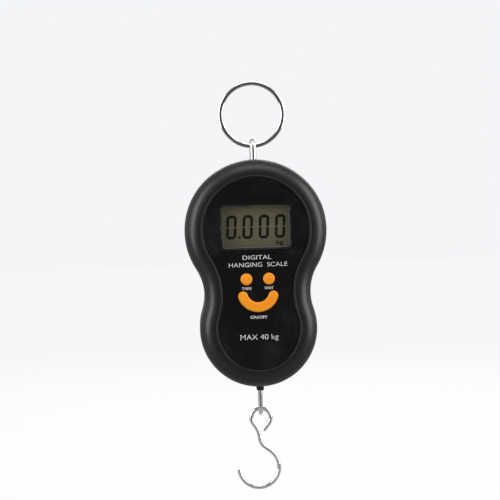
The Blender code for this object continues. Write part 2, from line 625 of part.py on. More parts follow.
def split_ring():
    """Two turns of flat wire. The coil runs flat, steps over by its own thickness at the jog, and runs flat again."""
    section = bpy.data.curves.new("ring_section", "CURVE")
    section.dimensions = "2D"
    corner = 0.28
    x, z = RING_RADIAL / 2, COIL_THICK / 2
    quarter = [(x, z - corner), (x - corner, z)]
    outline = quarter + [(-a, b) for a, b in reversed(quarter)]
    outline += [(-a, -b) for a, b in quarter] + [(a, -b) for a, b in reversed(quarter)]
    spline = section.splines.new("POLY")
    spline.points.add(len(outline) - 1)
    for point, (a, b) in zip(spline.points, outline):
        point.co = (a * MM, b * MM, 0, 1)
    spline.use_cyclic_u = True
    profile = add("ring_section", section)

    end_gap = math.radians(4)
    start = RING_JOG_AT + RING_JOG_HALF + end_gap
    turn = 2 * (math.tau - RING_JOG_HALF - end_gap)
    count = 88
    path = []
    for i in range(count + 1):
        run = turn * i / count
        into_jog = (run - (math.tau - 2 * RING_JOG_HALF - end_gap)) / (2 * RING_JOG_HALF)
        share = min(1, max(0, into_jog))
        step = share * share * (3 - 2 * share)
        y = (step - 0.5) * COIL_PITCH
        x, z = RING_MIDDLE * math.cos(start + run), RING_Z + RING_MIDDLE * math.sin(start + run)
        path.append((x, z, -y))
    curve = bpy.data.curves.new("split_ring", "CURVE")
    curve.dimensions = "3D"
    curve.twist_mode = "Z_UP"
    curve.bevel_mode = "OBJECT"
    curve.bevel_object = profile
    curve.use_fill_caps = True
    spline = curve.splines.new("POLY")
    spline.points.add(len(path) - 1)
    for point, place in zip(spline.points, path):
        point.co = (*(value * MM for value in place), 1)
    ring = add("split_ring", curve)
    ring.matrix_world = Matrix.Rotation(math.pi / 2, 4, "X")
    mesh_of(ring, CHROME)


def bezier(start, start_pull, end_pull, end, count):
    """Points between start and end on a cubic curve, without its two ends."""
    points = []
    for i in range(1, count):
        t = i / count
        weights = ((1 - t) ** 3, 3 * t * (1 - t) ** 2, 3 * t * t * (1 - t), t**3)
        spots = (start, start_pull, end_pull, end)
        points.append(tuple(sum(w * p[axis] for w, p in zip(weights, spots)) for axis in range(2)))
    return points


def s_hook():
    """One bent wire: a teardrop eye, a shank that leans across, and a round bowl with an open mouth."""
    eye_radius, eye_z = 4.7, 2 * HOOK_WIRE + HOOK_GAP - 4.7
    close = math.radians(38)
    eye = arc((0, eye_z), eye_radius, -close, math.pi + close, math.radians(12))
    end = (0.95, -8.8)
    bowl_middle, bowl_radius = (-1.6, -26.8), 9.8
    bowl = arc(bowl_middle, bowl_radius, math.radians(46), math.radians(-178), math.radians(8))
    waist = (-0.85, -12.2)
    shank = bezier(eye[-1], (-1.9, -7.7), (-1.15, -9.6), waist, 5) + [waist]
    shank += bezier(waist, (-0.45, -16.6), (2.6, -17.2), bowl[0], 7)
    path = [end, *eye, *shank, *bowl]
    wire("s_hook", [(x, 0, PIVOT_Z + z) for x, z in path], HOOK_WIRE, CHROME, resolution=3)


clear_scene()
PARTS = make_collection("hanging_scale")
CUTTERS = make_collection("cutters")
front_shell()
rear_shell()
battery_door()
face()
display()
board()
switches()
keys()
load_cell()
case_screws()
battery_bay()
links()
split_ring()
s_hook()
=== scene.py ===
"""Looks of a portable hanging scale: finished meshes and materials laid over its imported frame.

Each piece or group of like pieces has an operator, and the sidebar panel lists them with the sizes and colours that
they read. Sizes in this file are millimetres until MM turns them into metres. +Z is up and the face looks along -Y.
"""

import math

import bmesh
import bpy
from mathutils import Euler, Matrix, Vector


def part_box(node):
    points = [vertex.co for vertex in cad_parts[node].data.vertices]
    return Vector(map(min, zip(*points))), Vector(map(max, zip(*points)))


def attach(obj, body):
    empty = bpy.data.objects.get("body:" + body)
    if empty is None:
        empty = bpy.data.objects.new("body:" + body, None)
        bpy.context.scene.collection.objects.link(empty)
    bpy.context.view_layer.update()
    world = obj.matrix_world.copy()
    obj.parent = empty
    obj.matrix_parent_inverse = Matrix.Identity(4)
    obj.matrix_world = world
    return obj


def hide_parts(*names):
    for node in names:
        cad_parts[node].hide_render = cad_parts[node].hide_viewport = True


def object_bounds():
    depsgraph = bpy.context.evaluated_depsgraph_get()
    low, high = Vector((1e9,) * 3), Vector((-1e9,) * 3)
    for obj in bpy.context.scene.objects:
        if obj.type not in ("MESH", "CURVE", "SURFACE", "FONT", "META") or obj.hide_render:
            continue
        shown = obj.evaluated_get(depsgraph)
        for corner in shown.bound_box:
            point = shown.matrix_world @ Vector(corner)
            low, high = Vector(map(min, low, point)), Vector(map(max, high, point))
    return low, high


bl_info = {
    "name": "Hanging Scale Looks",
    "version": (1, 0, 0),
    "blender": (4, 5, 0),
    "location": "3D View > Sidebar > Hanging Scale",
    "description": "Casing, display, keys, wire hook and ring of a portable hanging scale",
    "category": "Object",
}

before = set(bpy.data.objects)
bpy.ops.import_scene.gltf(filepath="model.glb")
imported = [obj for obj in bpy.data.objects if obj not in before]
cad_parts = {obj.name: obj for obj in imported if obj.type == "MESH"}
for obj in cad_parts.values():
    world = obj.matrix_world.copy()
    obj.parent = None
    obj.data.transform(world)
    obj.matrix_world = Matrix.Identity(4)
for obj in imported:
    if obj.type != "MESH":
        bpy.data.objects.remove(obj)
FRAME_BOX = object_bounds()

MM = 0.001
ORIGIN, ALONG_X, ALONG_Y, ALONG_Z = (0.0, 0.0, 0.0), (1, 0, 0), (0, 1, 0), (0, 0, 1)
GAP = 0.3  # left between pieces that touch

# Heights of the whole scale, read back from the frame
WINDOW_RISE = 1.8
GLASS_LOW, GLASS_HIGH = (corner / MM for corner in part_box("display_glass"))
FACE_Z = (GLASS_LOW.z + GLASS_HIGH.z) / 2 - WINDOW_RISE  # centre of the upper lobe
UPPER_RADIUS = 34.3
LOWER_RADIUS = 28.4
LOBE_SPACING = 47.3
WAIST_RADIUS = 24.3
LOWER_Z = FACE_Z - LOBE_SPACING
CASE_TOP = FACE_Z + UPPER_RADIUS
CASE_BOTTOM = LOWER_Z - LOWER_RADIUS
PIVOT_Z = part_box("lower_link")[0].z / MM + 1.0  # middle of the wire at the lower link's foot
ARCH_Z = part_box("top_link")[1].z / MM - 1.5  # middle of the wire at the top link's arch

# Casing depths along Y
FRONT_Y, BACK_Y, PARTING_Y = -13.3, 15.2, 1.0
WALL = 2.0
RECESS_Y, FACE_INSIDE_Y = -12.0, -10.6
PANEL_FRONT_Y, PANEL_BACK_Y = -13.0, -12.3
PANEL_INSET = 9.1
LIP_INSET = 0.85  # from the casing's side to the lip at the parting line
TOP_SLOT, LOW_SLOT = (1.6, 5.8), (2.05, 5.2)  # half sizes of the openings for the links
FACE_CUT = (-13.0, -9.0)  # depths that a cut through the sunk face starts and ends at
BOARD_SEAT_Y, PILOT_END_Y = -5.7, -9.6
SEAT_Y = 13.05
BAY_FLOOR_Y = 1.8
BAY_HALF, BAY_TOP, BAY_BOTTOM, BAY_WALL = 11.4, 5.8, -43.8, 2.5
DOOR_HALF, DOOR_TOP, DOOR_BOTTOM = 12.9, 7.3, -45.3
BATTERY_X = 5.5

# Face layout, heights from the centre of the upper lobe
WINDOW = (33.4, 21.2)
KEY_SIDE, KEY_RISE, KEY_RADIUS = 5.4, -23.1, 2.8
SMILE_RISE, SMILE_RADIUS, SMILE_WIDTH, SMILE_HALF = -29.0, 7.6, 4.7, 73
KEY_FRONT_Y, KEY_BACK_Y, FLANGE_Y = -13.9, -9.8, -10.3
BOARD_POSTS = [(-24.0, 13.0), (24.0, 13.0), (-13.5, -41.5), (13.5, -41.5)]
CASE_POSTS = [(-16.8, 21.2), (16.8, 21.2), (-14.5, -60.5), (14.5, -60.5)]
CELL_POSTS = [(-9.2, 16.0), (9.2, 16.0)]
ROUND_KEYS = [(-KEY_SIDE, KEY_RISE), (KEY_SIDE, KEY_RISE)]
KEY_CLEARANCE = 0.35

# Radii of the round posts and of the holes in them
BOARD_POST, BOARD_PILOT = 2.7, 1.3
CASE_POST, CASE_PILOT = 3.0, 1.6
CELL_POST, CELL_PILOT = 3.0, 1.5
SCREW_POST, SCREW_HOLE, HEAD_HOLE, HEAD_DEPTH = 3.6, 1.6, 2.9, 3.0


# ---------------------------------------------------------------- modelling


def deselect_everything():
    if bpy.context.object and bpy.context.object.mode != "OBJECT":
        bpy.ops.object.mode_set(mode="OBJECT")
    bpy.ops.object.select_all(action="DESELECT")


def make_active(piece):
    deselect_everything()
    piece.select_set(True)
    bpy.context.view_layer.objects.active = piece


def named(name):
    piece = bpy.context.object
    piece.name = piece.data.name = name
    return piece


def edit_all():
    bpy.ops.object.mode_set(mode="EDIT")
    bpy.ops.mesh.select_all(action="SELECT")


def leave_edit():
    bpy.ops.object.mode_set(mode="OBJECT")


def first_corner(name, place):
    """A mesh of a single corner at place, selected in edit mode and ready to be extruded or spun."""
    deselect_everything()
    bpy.ops.mesh.primitive_plane_add(size=1)
    piece = named(name)
    bpy.ops.object.mode_set(mode="EDIT")
    bpy.ops.mesh.select_mode(type="VERT")
    bpy.ops.mesh.select_all(action="SELECT")
    bpy.ops.mesh.merge(type="CENTER")
    bpy.ops.transform.translate(value=Vector(place) * MM)
    return piece


def extrude(x, y, z):
    bpy.ops.mesh.extrude_region_move(TRANSFORM_OT_translate={"value": Vector((x, y, z)) * MM})


def swing(centre, degrees, steps, axis=ALONG_Y):
    """Spins the selection right-handed about an axis through centre, which leaves the far end selected."""
    bpy.ops.mesh.spin(steps=steps, angle=-math.radians(degrees), center=Vector(centre) * MM, axis=axis)


def close_face():
    """Joins the two ends of a traced line and fills it."""
    bpy.ops.mesh.select_all(action="SELECT")
    bpy.ops.mesh.remove_doubles(threshold=1e-6)
    bpy.ops.mesh.edge_face_add()


def face_outwards():
    bpy.ops.mesh.select_all(action="SELECT")
    bpy.ops.mesh.remove_doubles(threshold=1e-6)
    bpy.ops.mesh.normals_make_consistent(inside=False)


def weld(name):
    """Names a piece that was converted from a curve or text, welds its corners and turns its faces outwards."""
    piece = named(name)
    edit_all()
    face_outwards()
    leave_edit()
    return piece


def pick(kind, test):
    """Selects every edge or face whose corners all pass test, which is given a corner's place in millimetres."""
    mesh = bpy.context.object.data
    bpy.ops.mesh.select_mode(type=kind)
    bpy.ops.mesh.select_all(action="DESELECT")
    work = bmesh.from_edit_mesh(mesh)
    for item in work.edges if kind == "EDGE" else work.faces:
        if all(test(corner.co / MM) for corner in item.verts):
            item.select_set(True)
    bmesh.update_edit_mesh(mesh)


def at_depth(y):
    return lambda place: abs(place.y - y) < 0.001


def round_rim(y, width, segments):
    """Rounds the edges that lie at this depth."""
    pick("EDGE", at_depth(y))
    bpy.ops.mesh.bevel(offset=width * MM, segments=segments, affect="EDGES", clamp_overlap=True)


def trace_casing(name, inset, y, step=3):
    """The casing's double-lobed outline as a filled face. All of its stretches are arcs about fixed centres."""
    upper_reach, lower_reach = UPPER_RADIUS + WAIST_RADIUS, LOWER_RADIUS + WAIST_RADIUS
    waist_z = (lower_reach**2 - upper_reach**2 - LOBE_SPACING**2) / (2 * LOBE_SPACING)
    waist_x = math.sqrt(upper_reach**2 - waist_z**2)
    upper_meet = math.degrees(math.atan2(waist_z, waist_x))
    lower_meet = math.degrees(math.atan2(waist_z + LOBE_SPACING, waist_x))
    upper = ((0, FACE_Z), 90 - upper_meet)
    right, left = (((side * waist_x, FACE_Z + waist_z), upper_meet - lower_meet) for side in (1, -1))
    lower = ((0, LOWER_Z), 180 + 2 * lower_meet)
    piece = first_corner(name, (0, y, CASE_TOP - inset))
    for (x, z), turn in (upper, right, lower, left, upper):
        swing((x, y, z), turn, round(abs(turn) / step))
    close_face()
    return piece


def trace_smile(name, y, grow=0):
    """The curved key's outline as a filled face: a band bent round its centre, with round ends."""
    middle = (0, y, FACE_Z + SMILE_RISE)
    half = SMILE_WIDTH / 2 + grow
    turn = Matrix.Rotation(math.radians(-SMILE_HALF), 3, "Y")
    right_end = Vector(middle) + turn @ Vector((0, 0, -SMILE_RADIUS))
    left_end = right_end.copy()
    left_end.x = -left_end.x
    outwards = (right_end - Vector(middle)).normalized()
    piece = first_corner(name, right_end + outwards * half)
    swing(middle, 2 * SMILE_HALF, 36)
    swing(left_end, 180, 12)
    swing(middle, -2 * SMILE_HALF, 36)
    swing(right_end, 180, 12)
    close_face()
    return piece


def trace_box(name, low, high, y, corner):
    """A filled face with rounded corners, between two (x, z) corners."""
    (x0, z0), (x1, z1) = [value + corner for value in low], [value - corner for value in high]
    piece = first_corner(name, (x1, y, high[1]))
    for x, z, across, rise in ((x1, z1, 0, z0 - z1), (x1, z0, x0 - x1, 0), (x0, z0, 0, z1 - z0)):
        swing((x, y, z), 90, 5)
        extrude(across, 0, rise)
    swing((x0, y, z1), 90, 5)
    close_face()
    return piece


def deepen(front, back):
    """Draws a filled face at y=back out to y=front, and closes it into a solid."""
    bpy.ops.mesh.select_all(action="SELECT")
    extrude(0, front - back, 0)
    face_outwards()


def make_solid(front, back, rounding=0.0, segments=3):
    """Closes the traced face at y=back into a solid, rounds its front rim, and leaves edit mode."""
    deepen(front, back)
    if rounding:
        round_rim(front, rounding, segments)
    leave_edit()


def block(name, low, high, rounding=0, segments=2):
    """A box from its low to its high corner, with all its edges rounded."""
    low, high = Vector(low), Vector(high)
    deselect_everything()
    bpy.ops.mesh.primitive_cube_add(size=1, location=(low + high) / 2 * MM)
    piece = named(name)
    piece.scale = (high - low) * MM
    bpy.ops.object.transform_apply(location=True, rotation=False, scale=True)
    if rounding:
        edit_all()
        bpy.ops.mesh.bevel(offset=rounding * MM, segments=segments, affect="EDGES")
        leave_edit()
    return piece


def peg(name, place, radius, front, back, sides=32):
    """A round bar along Y at an (x, z) place that is measured from the upper lobe's centre."""
    deselect_everything()
    bpy.ops.mesh.primitive_cylinder_add(
        vertices=sides,
        radius=radius * MM,
        depth=(back - front) * MM,
        location=Vector((place[0], (front + back) / 2, FACE_Z + place[1])) * MM,
        rotation=(math.pi / 2, 0, 0),
    )
    piece = named(name)
    bpy.ops.object.transform_apply(location=True, rotation=True, scale=True)
    return piece


def pegs(name, places, radius, front, back, sides=32):
    return [peg(name, place, radius, front, back, sides) for place in places]


def turn_profile(name, profile, middle, sides, axis=ALONG_Y):
    """A turned piece. Its profile is (radius, distance along the axis) pairs that start and end on the axis."""
    middle, along = Vector(middle), Vector(axis)
    out = Vector(ALONG_X)
    points = [middle + out * radius + along * distance for radius, distance in profile]
    piece = first_corner(name, points[0])
    for here, there in zip(points, points[1:]):
        extrude(*(there - here))
    bpy.ops.mesh.select_all(action="SELECT")
    swing(middle, 360, sides, axis)
    face_outwards()
    leave_edit()
    return piece


def cut(piece, others, operation="DIFFERENCE"):
    """Applies Boolean modifiers in order and removes the pieces they used."""
    make_active(piece)
    for other in others:
        bpy.ops.object.modifier_add(type="BOOLEAN")
        step = piece.modifiers[-1]
        step.operation, step.solver, step.object = operation, "MANIFOLD", other
        bpy.ops.object.modifier_apply(modifier=step.name)
        bpy.data.objects.remove(other, do_unlink=True)
    if len(piece.data.polygons) < 4:
        raise RuntimeError(f"{piece.name} lost its faces to a cut")


def join(pieces, name):
    make_active(pieces[0])
    for piece in pieces:
        piece.select_set(True)
    bpy.ops.object.join()
    return named(name)


def copy_of(piece, name, move=(0, 0, 0)):
    """A copy with its own mesh, moved by so many millimetres."""
    make_active(piece)
    bpy.ops.object.duplicate()
    made = named(name)
    edit_all()
    bpy.ops.transform.translate(value=Vector(move) * MM)
    leave_edit()
    return made


def turn_about(piece, centre, degrees, axis="Y"):
    """Turns a piece's mesh right-handed about an axis. With no window, the operator itself turns it left-handed."""
    make_active(piece)
    edit_all()
    bpy.ops.transform.rotate(value=-math.radians(degrees), orient_axis=axis, center_override=Vector(centre) * MM)
    leave_edit()


def lay_curve(places, closed, thickness=None):
    """A curve with straight stretches through places in millimetres. thickness scales the wire at each of them."""
    deselect_everything()
    bpy.ops.curve.primitive_bezier_curve_add()
    made = bpy.context.object
    made.data.splines.clear()
    spline = made.data.splines.new("POLY")
    spline.points.add(len(places) - 1)
    for point, place, share in zip(spline.points, places, thickness or [1.0] * len(places)):
        point.co = (*(Vector(place) * MM), 1)
        point.radius = share
    spline.use_cyclic_u = closed
    spline.use_smooth = True
    return made


def bend_wire(name, path, radius, closed=False, thickness=None, section=None, sides=5):
    """Wire along path, as points in millimetres. thickness scales it at each point, and section is a curve to sweep."""
    curve = lay_curve(path, closed, thickness).data
    curve.dimensions = "3D"
    curve.use_fill_caps = not closed
    if section:
        curve.twist_mode = "Z_UP"
        curve.bevel_mode = "OBJECT"
        curve.bevel_object = section
    else:
        curve.bevel_depth = radius * MM
        curve.bevel_resolution = sides
    bpy.ops.object.convert(target="MESH")
    return weld(name)


def along_arc(middle, radius, start, end, step):
    """Points in a plane along an arc, in degrees, both ends included."""
    count = max(2, round(abs(end - start) / step))
    angles = [math.radians(start + (end - start) * i / count) for i in range(count + 1)]
    return [(middle[0] + radius * math.cos(a), middle[1] + radius * math.sin(a)) for a in angles]


def along_bezier(start, start_pull, end_pull, end, count):
    """Points on a cubic curve in a plane, without its two ends."""
    points = []
    for i in range(1, count):
        t = i / count
        weights = ((1 - t) ** 3, 3 * t * (1 - t) ** 2, 3 * t * t * (1 - t), t**3)
        corners = (start, start_pull, end_pull, end)
        points.append(tuple(sum(w * corner[axis] for w, corner in zip(weights, corners)) for axis in range(2)))
    return points


def complete(piece, material, body, stands_for=(), sharp=32, weigh=True):
    """Shades a finished piece, gives it its material, ties it to its body and hides the frame's nodes that it stands
    for.
    """
    make_active(piece)
    bpy.ops.object.shade_smooth_by_angle(angle=math.radians(sharp))
    if weigh:
        bpy.ops.object.modifier_add(type="WEIGHTED_NORMAL")
        step = piece.modifiers[-1]
        step.keep_sharp = True
        step.weight = 80
        bpy.ops.object.modifier_apply(modifier=step.name)
    piece.data.materials.clear()
    piece.data.materials.append(material)
    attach(piece, body)
    if stands_for:
        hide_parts(*stands_for)


# ---------------------------------------------------------------- shared shader groups


def new_group(name, inputs, outputs):
    """An empty node group. inputs gives each socket's default, whose form says if it is a vector or a colour."""
    group = bpy.data.node_groups.new(name, "ShaderNodeTree")
    for title, default in inputs.items():
        kind = {3: "Vector", 4: "Color"}[len(default)] if isinstance(default, tuple) else "Float"
        socket = group.interface.new_socket(name=title, in_out="INPUT", socket_type=f"NodeSocket{kind}")
        socket.default_value = default
    for title in outputs:
        kind = "Color" if title == "Colour" else "Float"
        group.interface.new_socket(name=title, in_out="OUTPUT", socket_type=f"NodeSocket{kind}")
    return group, group.nodes.new("NodeGroupInput"), group.nodes.new("NodeGroupOutput")


def connect(tree, node, **inputs):
    """Gives inputs a value or a node's output. They are named with underscores for spaces, or by n and a number."""
    for key, value in inputs.items():
        title = int(key[1:]) if key[0] == "n" and key[1:].isdigit() else key.replace("_", " ")
        if isinstance(value, bpy.types.NodeSocket):
            tree.links.new(value, node.inputs[title])
        else:
            node.inputs[title].default_value = value
    return node


def put(tree, kind, settings=None, **inputs):
    """Adds a node, sets its own settings and connects its inputs."""
    node = tree.nodes.new(f"ShaderNode{kind}")
    for key, value in (settings or {}).items():
        setattr(node, key, value)
    return connect(tree, node, **inputs)


def noise(tree, vector, scale, detail=2.0, rough=0.5):
    return put(tree, "TexNoise", Vector=vector, Scale=scale, Detail=detail, Roughness=rough).outputs[0]


def plus(tree, first, second, operation="ADD"):
    return put(tree, "Math", {"operation": operation}, n0=first, n1=second).outputs[0]


def minus(tree, first, second):
    return plus(tree, first, second, "SUBTRACT")


def times(tree, first, second):
    return plus(tree, first, second, "MULTIPLY")


def spread(tree, value, low, high, to_low, to_high):
    node = put(tree, "MapRange", Value=value, From_Min=low, From_Max=high, To_Min=to_low, To_Max=to_high)
    return node.outputs[0]


def cloud(tree, vector, scale, detail, low, high):
    """Soft noise that drifts between low and high."""
    return spread(tree, noise(tree, vector, scale, detail), 0.3, 0.7, low, high)


def blend(tree, share, first, second, mode="MIX"):
    """Mixes two colours. Inputs 6 and 7 of the Mix node are its colours."""
    return put(tree, "Mix", {"data_type": "RGBA", "blend_type": mode}, n0=share, n6=first, n7=second).outputs[2]


def tinted(tree, colour, shade):
    """A plain colour made lighter and darker by a shade."""
    tone = put(tree, "CombineColor", Red=shade, Green=shade, Blue=shade).outputs[0]
    return blend(tree, 1.0, colour, tone, "MULTIPLY")


def build_moulded_grain():
    """The fine spark-eroded texture of moulded plastic: a height for bump and a roughness that varies with it."""
    inputs = {"Vector": ORIGIN, "Grains per m": 4000.0, "Roughness": 0.4, "Variation": 0.06}
    group, entry, result = new_group("Moulded Grain", inputs, ("Height", "Roughness"))
    vector, size = entry.outputs["Vector"], entry.outputs["Grains per m"]
    fine = noise(group, vector, size, 2.0, 0.6)
    coarse = noise(group, vector, times(group, size, 0.35), 1.0)
    height = plus(group, times(group, fine, 0.7), times(group, coarse, 0.3))
    broad = noise(group, vector, 60.0, 3.0)
    drift = minus(group, plus(group, height, broad), 1.0)
    varied = times(group, drift, entry.outputs["Variation"])
    rough = plus(group, varied, entry.outputs["Roughness"])
    connect(group, result, Height=height, Roughness=rough)
    return group


def build_edge_wear():
    """Where edges are rubbed: sharp outer edges, broken up by noise. Gives the worn colour and the mask."""
    colours = {"Colour": (0.1, 0.1, 0.1, 1), "Worn": (0.2, 0.2, 0.2, 1)}
    inputs = {"Vector": ORIGIN, **colours, "Amount": 0.5, "Start": 0.53}
    group, entry, result = new_group("Edge Wear", inputs, ("Colour", "Mask"))
    shape = put(group, "NewGeometry").outputs["Pointiness"]
    start = entry.outputs["Start"]
    edge = put(group, "MapRange", Value=shape, From_Min=start, From_Max=plus(group, start, 0.06)).outputs[0]
    patches = spread(group, noise(group, entry.outputs["Vector"], 420.0, 4.0, 0.65), 0.42, 0.62, 0.0, 1.0)
    mask = times(group, times(group, edge, patches), entry.outputs["Amount"])
    colour = blend(group, mask, entry.outputs["Colour"], entry.outputs["Worn"])
    connect(group, result, Colour=colour, Mask=mask)
    return group


def build_handling():
    """Faint smears that hands leave on a smooth face, as a roughness between clean and touched."""
    inputs = {"Vector": ORIGIN, "Clean": 0.08, "Touched": 0.2, "Size": 45.0}
    group, entry, result = new_group("Handling Marks", inputs, ("Roughness", "Mask"))
    bent = noise(group, entry.outputs["Vector"], entry.outputs["Size"], 4.0, 0.6)
    smear = put(group, "Mapping", {"vector_type": "POINT"}, Vector=entry.outputs["Vector"], Scale=(1.0, 1.0, 0.35))
    streaks = noise(group, smear.outputs[0], times(group, entry.outputs["Size"], 6.0), 3.0, 0.7)
    touched, wiped = spread(group, bent, 0.48, 0.7, 0.0, 1.0), spread(group, streaks, 0.35, 0.7, 0.2, 1.0)
    mask = times(group, touched, wiped)
    rough = put(group, "MapRange", Value=mask, To_Min=entry.outputs["Clean"], To_Max=entry.outputs["Touched"])
    connect(group, result, Roughness=rough.outputs[0], Mask=mask)
    return group


def build_drawn_lines():
    """Fine lines along one direction, as drawing, rolling or milling leaves in metal."""
    inputs = {"Vector": ORIGIN, "Stretch": (1, 1, 0.02), "Lines per m": 9000.0, "Roughness": 0.3, "Variation": 0.15}
    group, entry, result = new_group("Drawn Lines", inputs, ("Height", "Roughness", "Shade"))
    turned = put(group, "Mapping", Vector=entry.outputs["Vector"], Scale=entry.outputs["Stretch"])
    lines = noise(group, turned.outputs[0], entry.outputs["Lines per m"], 3.0, 0.6)
    centred = minus(group, lines, 0.5)
    rough = plus(group, times(group, centred, entry.outputs["Variation"]), entry.outputs["Roughness"])
    cloudy = noise(group, entry.outputs["Vector"], 110.0, 3.0)
    shade = plus(group, times(group, centred, 0.3), spread(group, cloudy, 0.3, 0.7, 0.9, 1.05))
    connect(group, result, Height=lines, Roughness=rough, Shade=shade)
    return group


GROUPS = {}


def shared(name):
    builders = {
        "grain": build_moulded_grain,
        "wear": build_edge_wear,
        "handling": build_handling,
        "lines": build_drawn_lines,
    }
    if name not in GROUPS:
        GROUPS[name] = builders[name]()
    return GROUPS[name]


def place_group(tree, name, **inputs):
    node = tree.nodes.new("ShaderNodeGroup")
    node.node_tree = shared(name)
    return connect(tree, node, **inputs)


# ---------------------------------------------------------------- materials


def start_material(name, **constants):
    """A material with its shader's plain values set, and the object coordinates that patterns read."""
    made = bpy.data.materials.new(f"{name}_look")
    made.use_nodes = True
    tree = made.node_tree
    shader = tree.nodes["Principled BSDF"]
    connect(tree, shader, **constants)
    return made, tree, shader, put(tree, "TexCoord").outputs["Object"]


def opaque(colour):
    return (*colour[:3], 1.0)


def shades(colour, factor):
    return (*(min(1.0, channel * factor) for channel in colour[:3]), 1.0)


def bump(tree, shader, height, distance):
    """Distance is the pattern's depth in millimetres."""
    node = put(tree, "Bump", Strength=1.0, Distance=distance * MM, Height=height)
    connect(tree, shader, Normal=node.outputs[0])


def moulded_plastic(name, colour, roughness, grain=4200.0, depth=0.008, wear=0.35, tint=0.12, **constants):
    """Moulded plastic: fine grain, a slight drift in shade, and rubbed edges."""
    made, tree, shader, vector = start_material(name, **constants)
    texture = place_group(tree, "grain", Vector=vector, Grains_per_m=grain, Roughness=roughness, Variation=0.08)
    drift = cloud(tree, vector, 35.0, 3.0, 0.0, 1.0)
    base = blend(tree, drift, shades(colour, 1 - tint), shades(colour, 1 + tint))
    worn = place_group(tree, "wear", Vector=vector, Colour=base, Worn=shades(colour, 2.4), Amount=wear)
    connect(tree, shader, Base_Color=worn.outputs["Colour"], Roughness=texture.outputs["Roughness"])
    bump(tree, shader, texture.outputs["Height"], depth)
    return made


def gloss_panel(colour):
    """Polished black acrylic that shows smears where it is pressed."""
    made, tree, shader, vector = start_material("face_panel_gloss", IOR=1.49)
    marks = place_group(tree, "handling", Vector=vector, Clean=0.09, Touched=0.2, Size=42.0)
    depth = spread(tree, noise(tree, vector, 24.0, 2.0), 0.35, 0.65, 0.0, 1.0)
    base = blend(tree, depth, opaque(colour), shades(colour, 1.5))
    dusty = blend(tree, times(tree, marks.outputs["Mask"], 0.06), base, (0.25, 0.25, 0.25, 1))
    connect(tree, shader, Base_Color=dusty, Roughness=marks.outputs["Roughness"])
    bump(tree, shader, noise(tree, vector, 90.0, 2.0), 0.012)
    return made


def window_glass():
    """The clear window. Lamps reach the display through it."""
    made, tree, shader, vector = start_material("window_clear", IOR=1.45, Transmission_Weight=1.0)
    marks = place_group(tree, "handling", Vector=vector, Clean=0.01, Touched=0.07, Size=60.0)
    smeared = blend(tree, marks.outputs["Mask"], (0.97, 0.98, 0.96, 1), (0.92, 0.93, 0.91, 1))
    connect(tree, shader, Base_Color=smeared, Roughness=marks.outputs["Roughness"])
    clear = put(tree, "BsdfTransparent", Color=(0.95, 0.96, 0.94, 1))
    lamp = put(tree, "LightPath").outputs["Is Shadow Ray"]
    mixed = put(tree, "MixShader", n0=lamp, n1=shader.outputs[0], n2=clear.outputs[0])
    connect(tree, tree.nodes["Material Output"], Surface=mixed.outputs[0])
    return made


def display_film(colour):
    """The display's olive-grey reflective back: a fine matt sparkle, with painted light that makes it lighter towards
    its upper right.
    """
    made, tree, shader, vector = start_material("display_olive", Specular_IOR_Level=0.2)
    centre = Vector((0, 0, FACE_Z + WINDOW_RISE)) * MM
    place = put(tree, "Mapping", Vector=vector, Location=-centre)
    apart = put(tree, "SeparateXYZ", Vector=place.outputs[0])
    # painted light: a slant across the window, from darker at the lower left to lighter at the upper right, as lit from
    # the upper right
    slant = plus(tree, times(tree, apart.outputs[0], 0.7), apart.outputs[2])
    painted_light = spread(tree, slant, -0.019, 0.019, 0.0, 1.0)
    sparkle = cloud(tree, vector, 9000.0, 1.0, 0.92, 1.08)
    # the painted light mixes the film's colour from a darker to a lighter copy
    base = blend(tree, painted_light, shades(colour, 0.8), shades(colour, 1.25))
    rough = cloud(tree, vector, 3000.0, 2.0, 0.35, 0.5)
    connect(tree, shader, Base_Color=tinted(tree, base, sparkle), Roughness=rough)
    return made


def ink(name, colour, roughness, gloss):
    """Printed ink: slightly uneven cover, and a soft ripple over its surface."""
    made, tree, shader, vector = start_material(name, Specular_IOR_Level=gloss)
    cover = spread(tree, noise(tree, vector, 5200.0, 3.0, 0.6), 0.3, 0.7, 0.0, 1.0)
    rough = spread(tree, cover, 0.0, 1.0, roughness - 0.06, roughness + 0.06)
    connect(tree, shader, Base_Color=blend(tree, cover, shades(colour, 0.86), opaque(colour)), Roughness=rough)
    bump(tree, shader, cover, 0.003)
    return made


def plated_wire(name, colour, roughness):
    """Bright plating over drawn wire: faint lengthwise lines, small pits, and duller patches where it rubs."""
    made, tree, shader, vector = start_material(name, Metallic=1.0)
    lines = place_group(tree, "lines", Vector=vector, Stretch=(1, 1, 0.06), Lines_per_m=5200.0, Variation=0.03)
    connect(tree, lines, Roughness=roughness)
    rubbed = place_group(tree, "handling", Vector=vector, Clean=0.0, Touched=0.08, Size=150.0)
    rough = plus(tree, lines.outputs["Roughness"], rubbed.outputs["Roughness"])
    pits = spread(tree, noise(tree, vector, 2600.0, 2.0), 0.66, 0.74, 0.0, 1.0)
    bright = blend(tree, times(tree, pits, 0.5), opaque(colour), shades(colour, 0.55))
    connect(tree, shader, Base_Color=bright, Roughness=rough)
    bump(tree, shader, lines.outputs["Height"], 0.0006)
    return made


def worked_metal(name, colour, roughness, stretch, lines_per_m=9000.0, depth=0.004):
    """Rolled, milled or drawn metal with lines along one direction."""
    made, tree, shader, vector = start_material(name, Metallic=1.0)
    lines = place_group(tree, "lines", Vector=vector, Stretch=stretch, Lines_per_m=lines_per_m, Roughness=roughness)
    base = tinted(tree, opaque(colour), lines.outputs["Shade"])
    connect(tree, shader, Base_Color=base, Roughness=lines.outputs["Roughness"])
    bump(tree, shader, lines.outputs["Height"], depth)
    return made


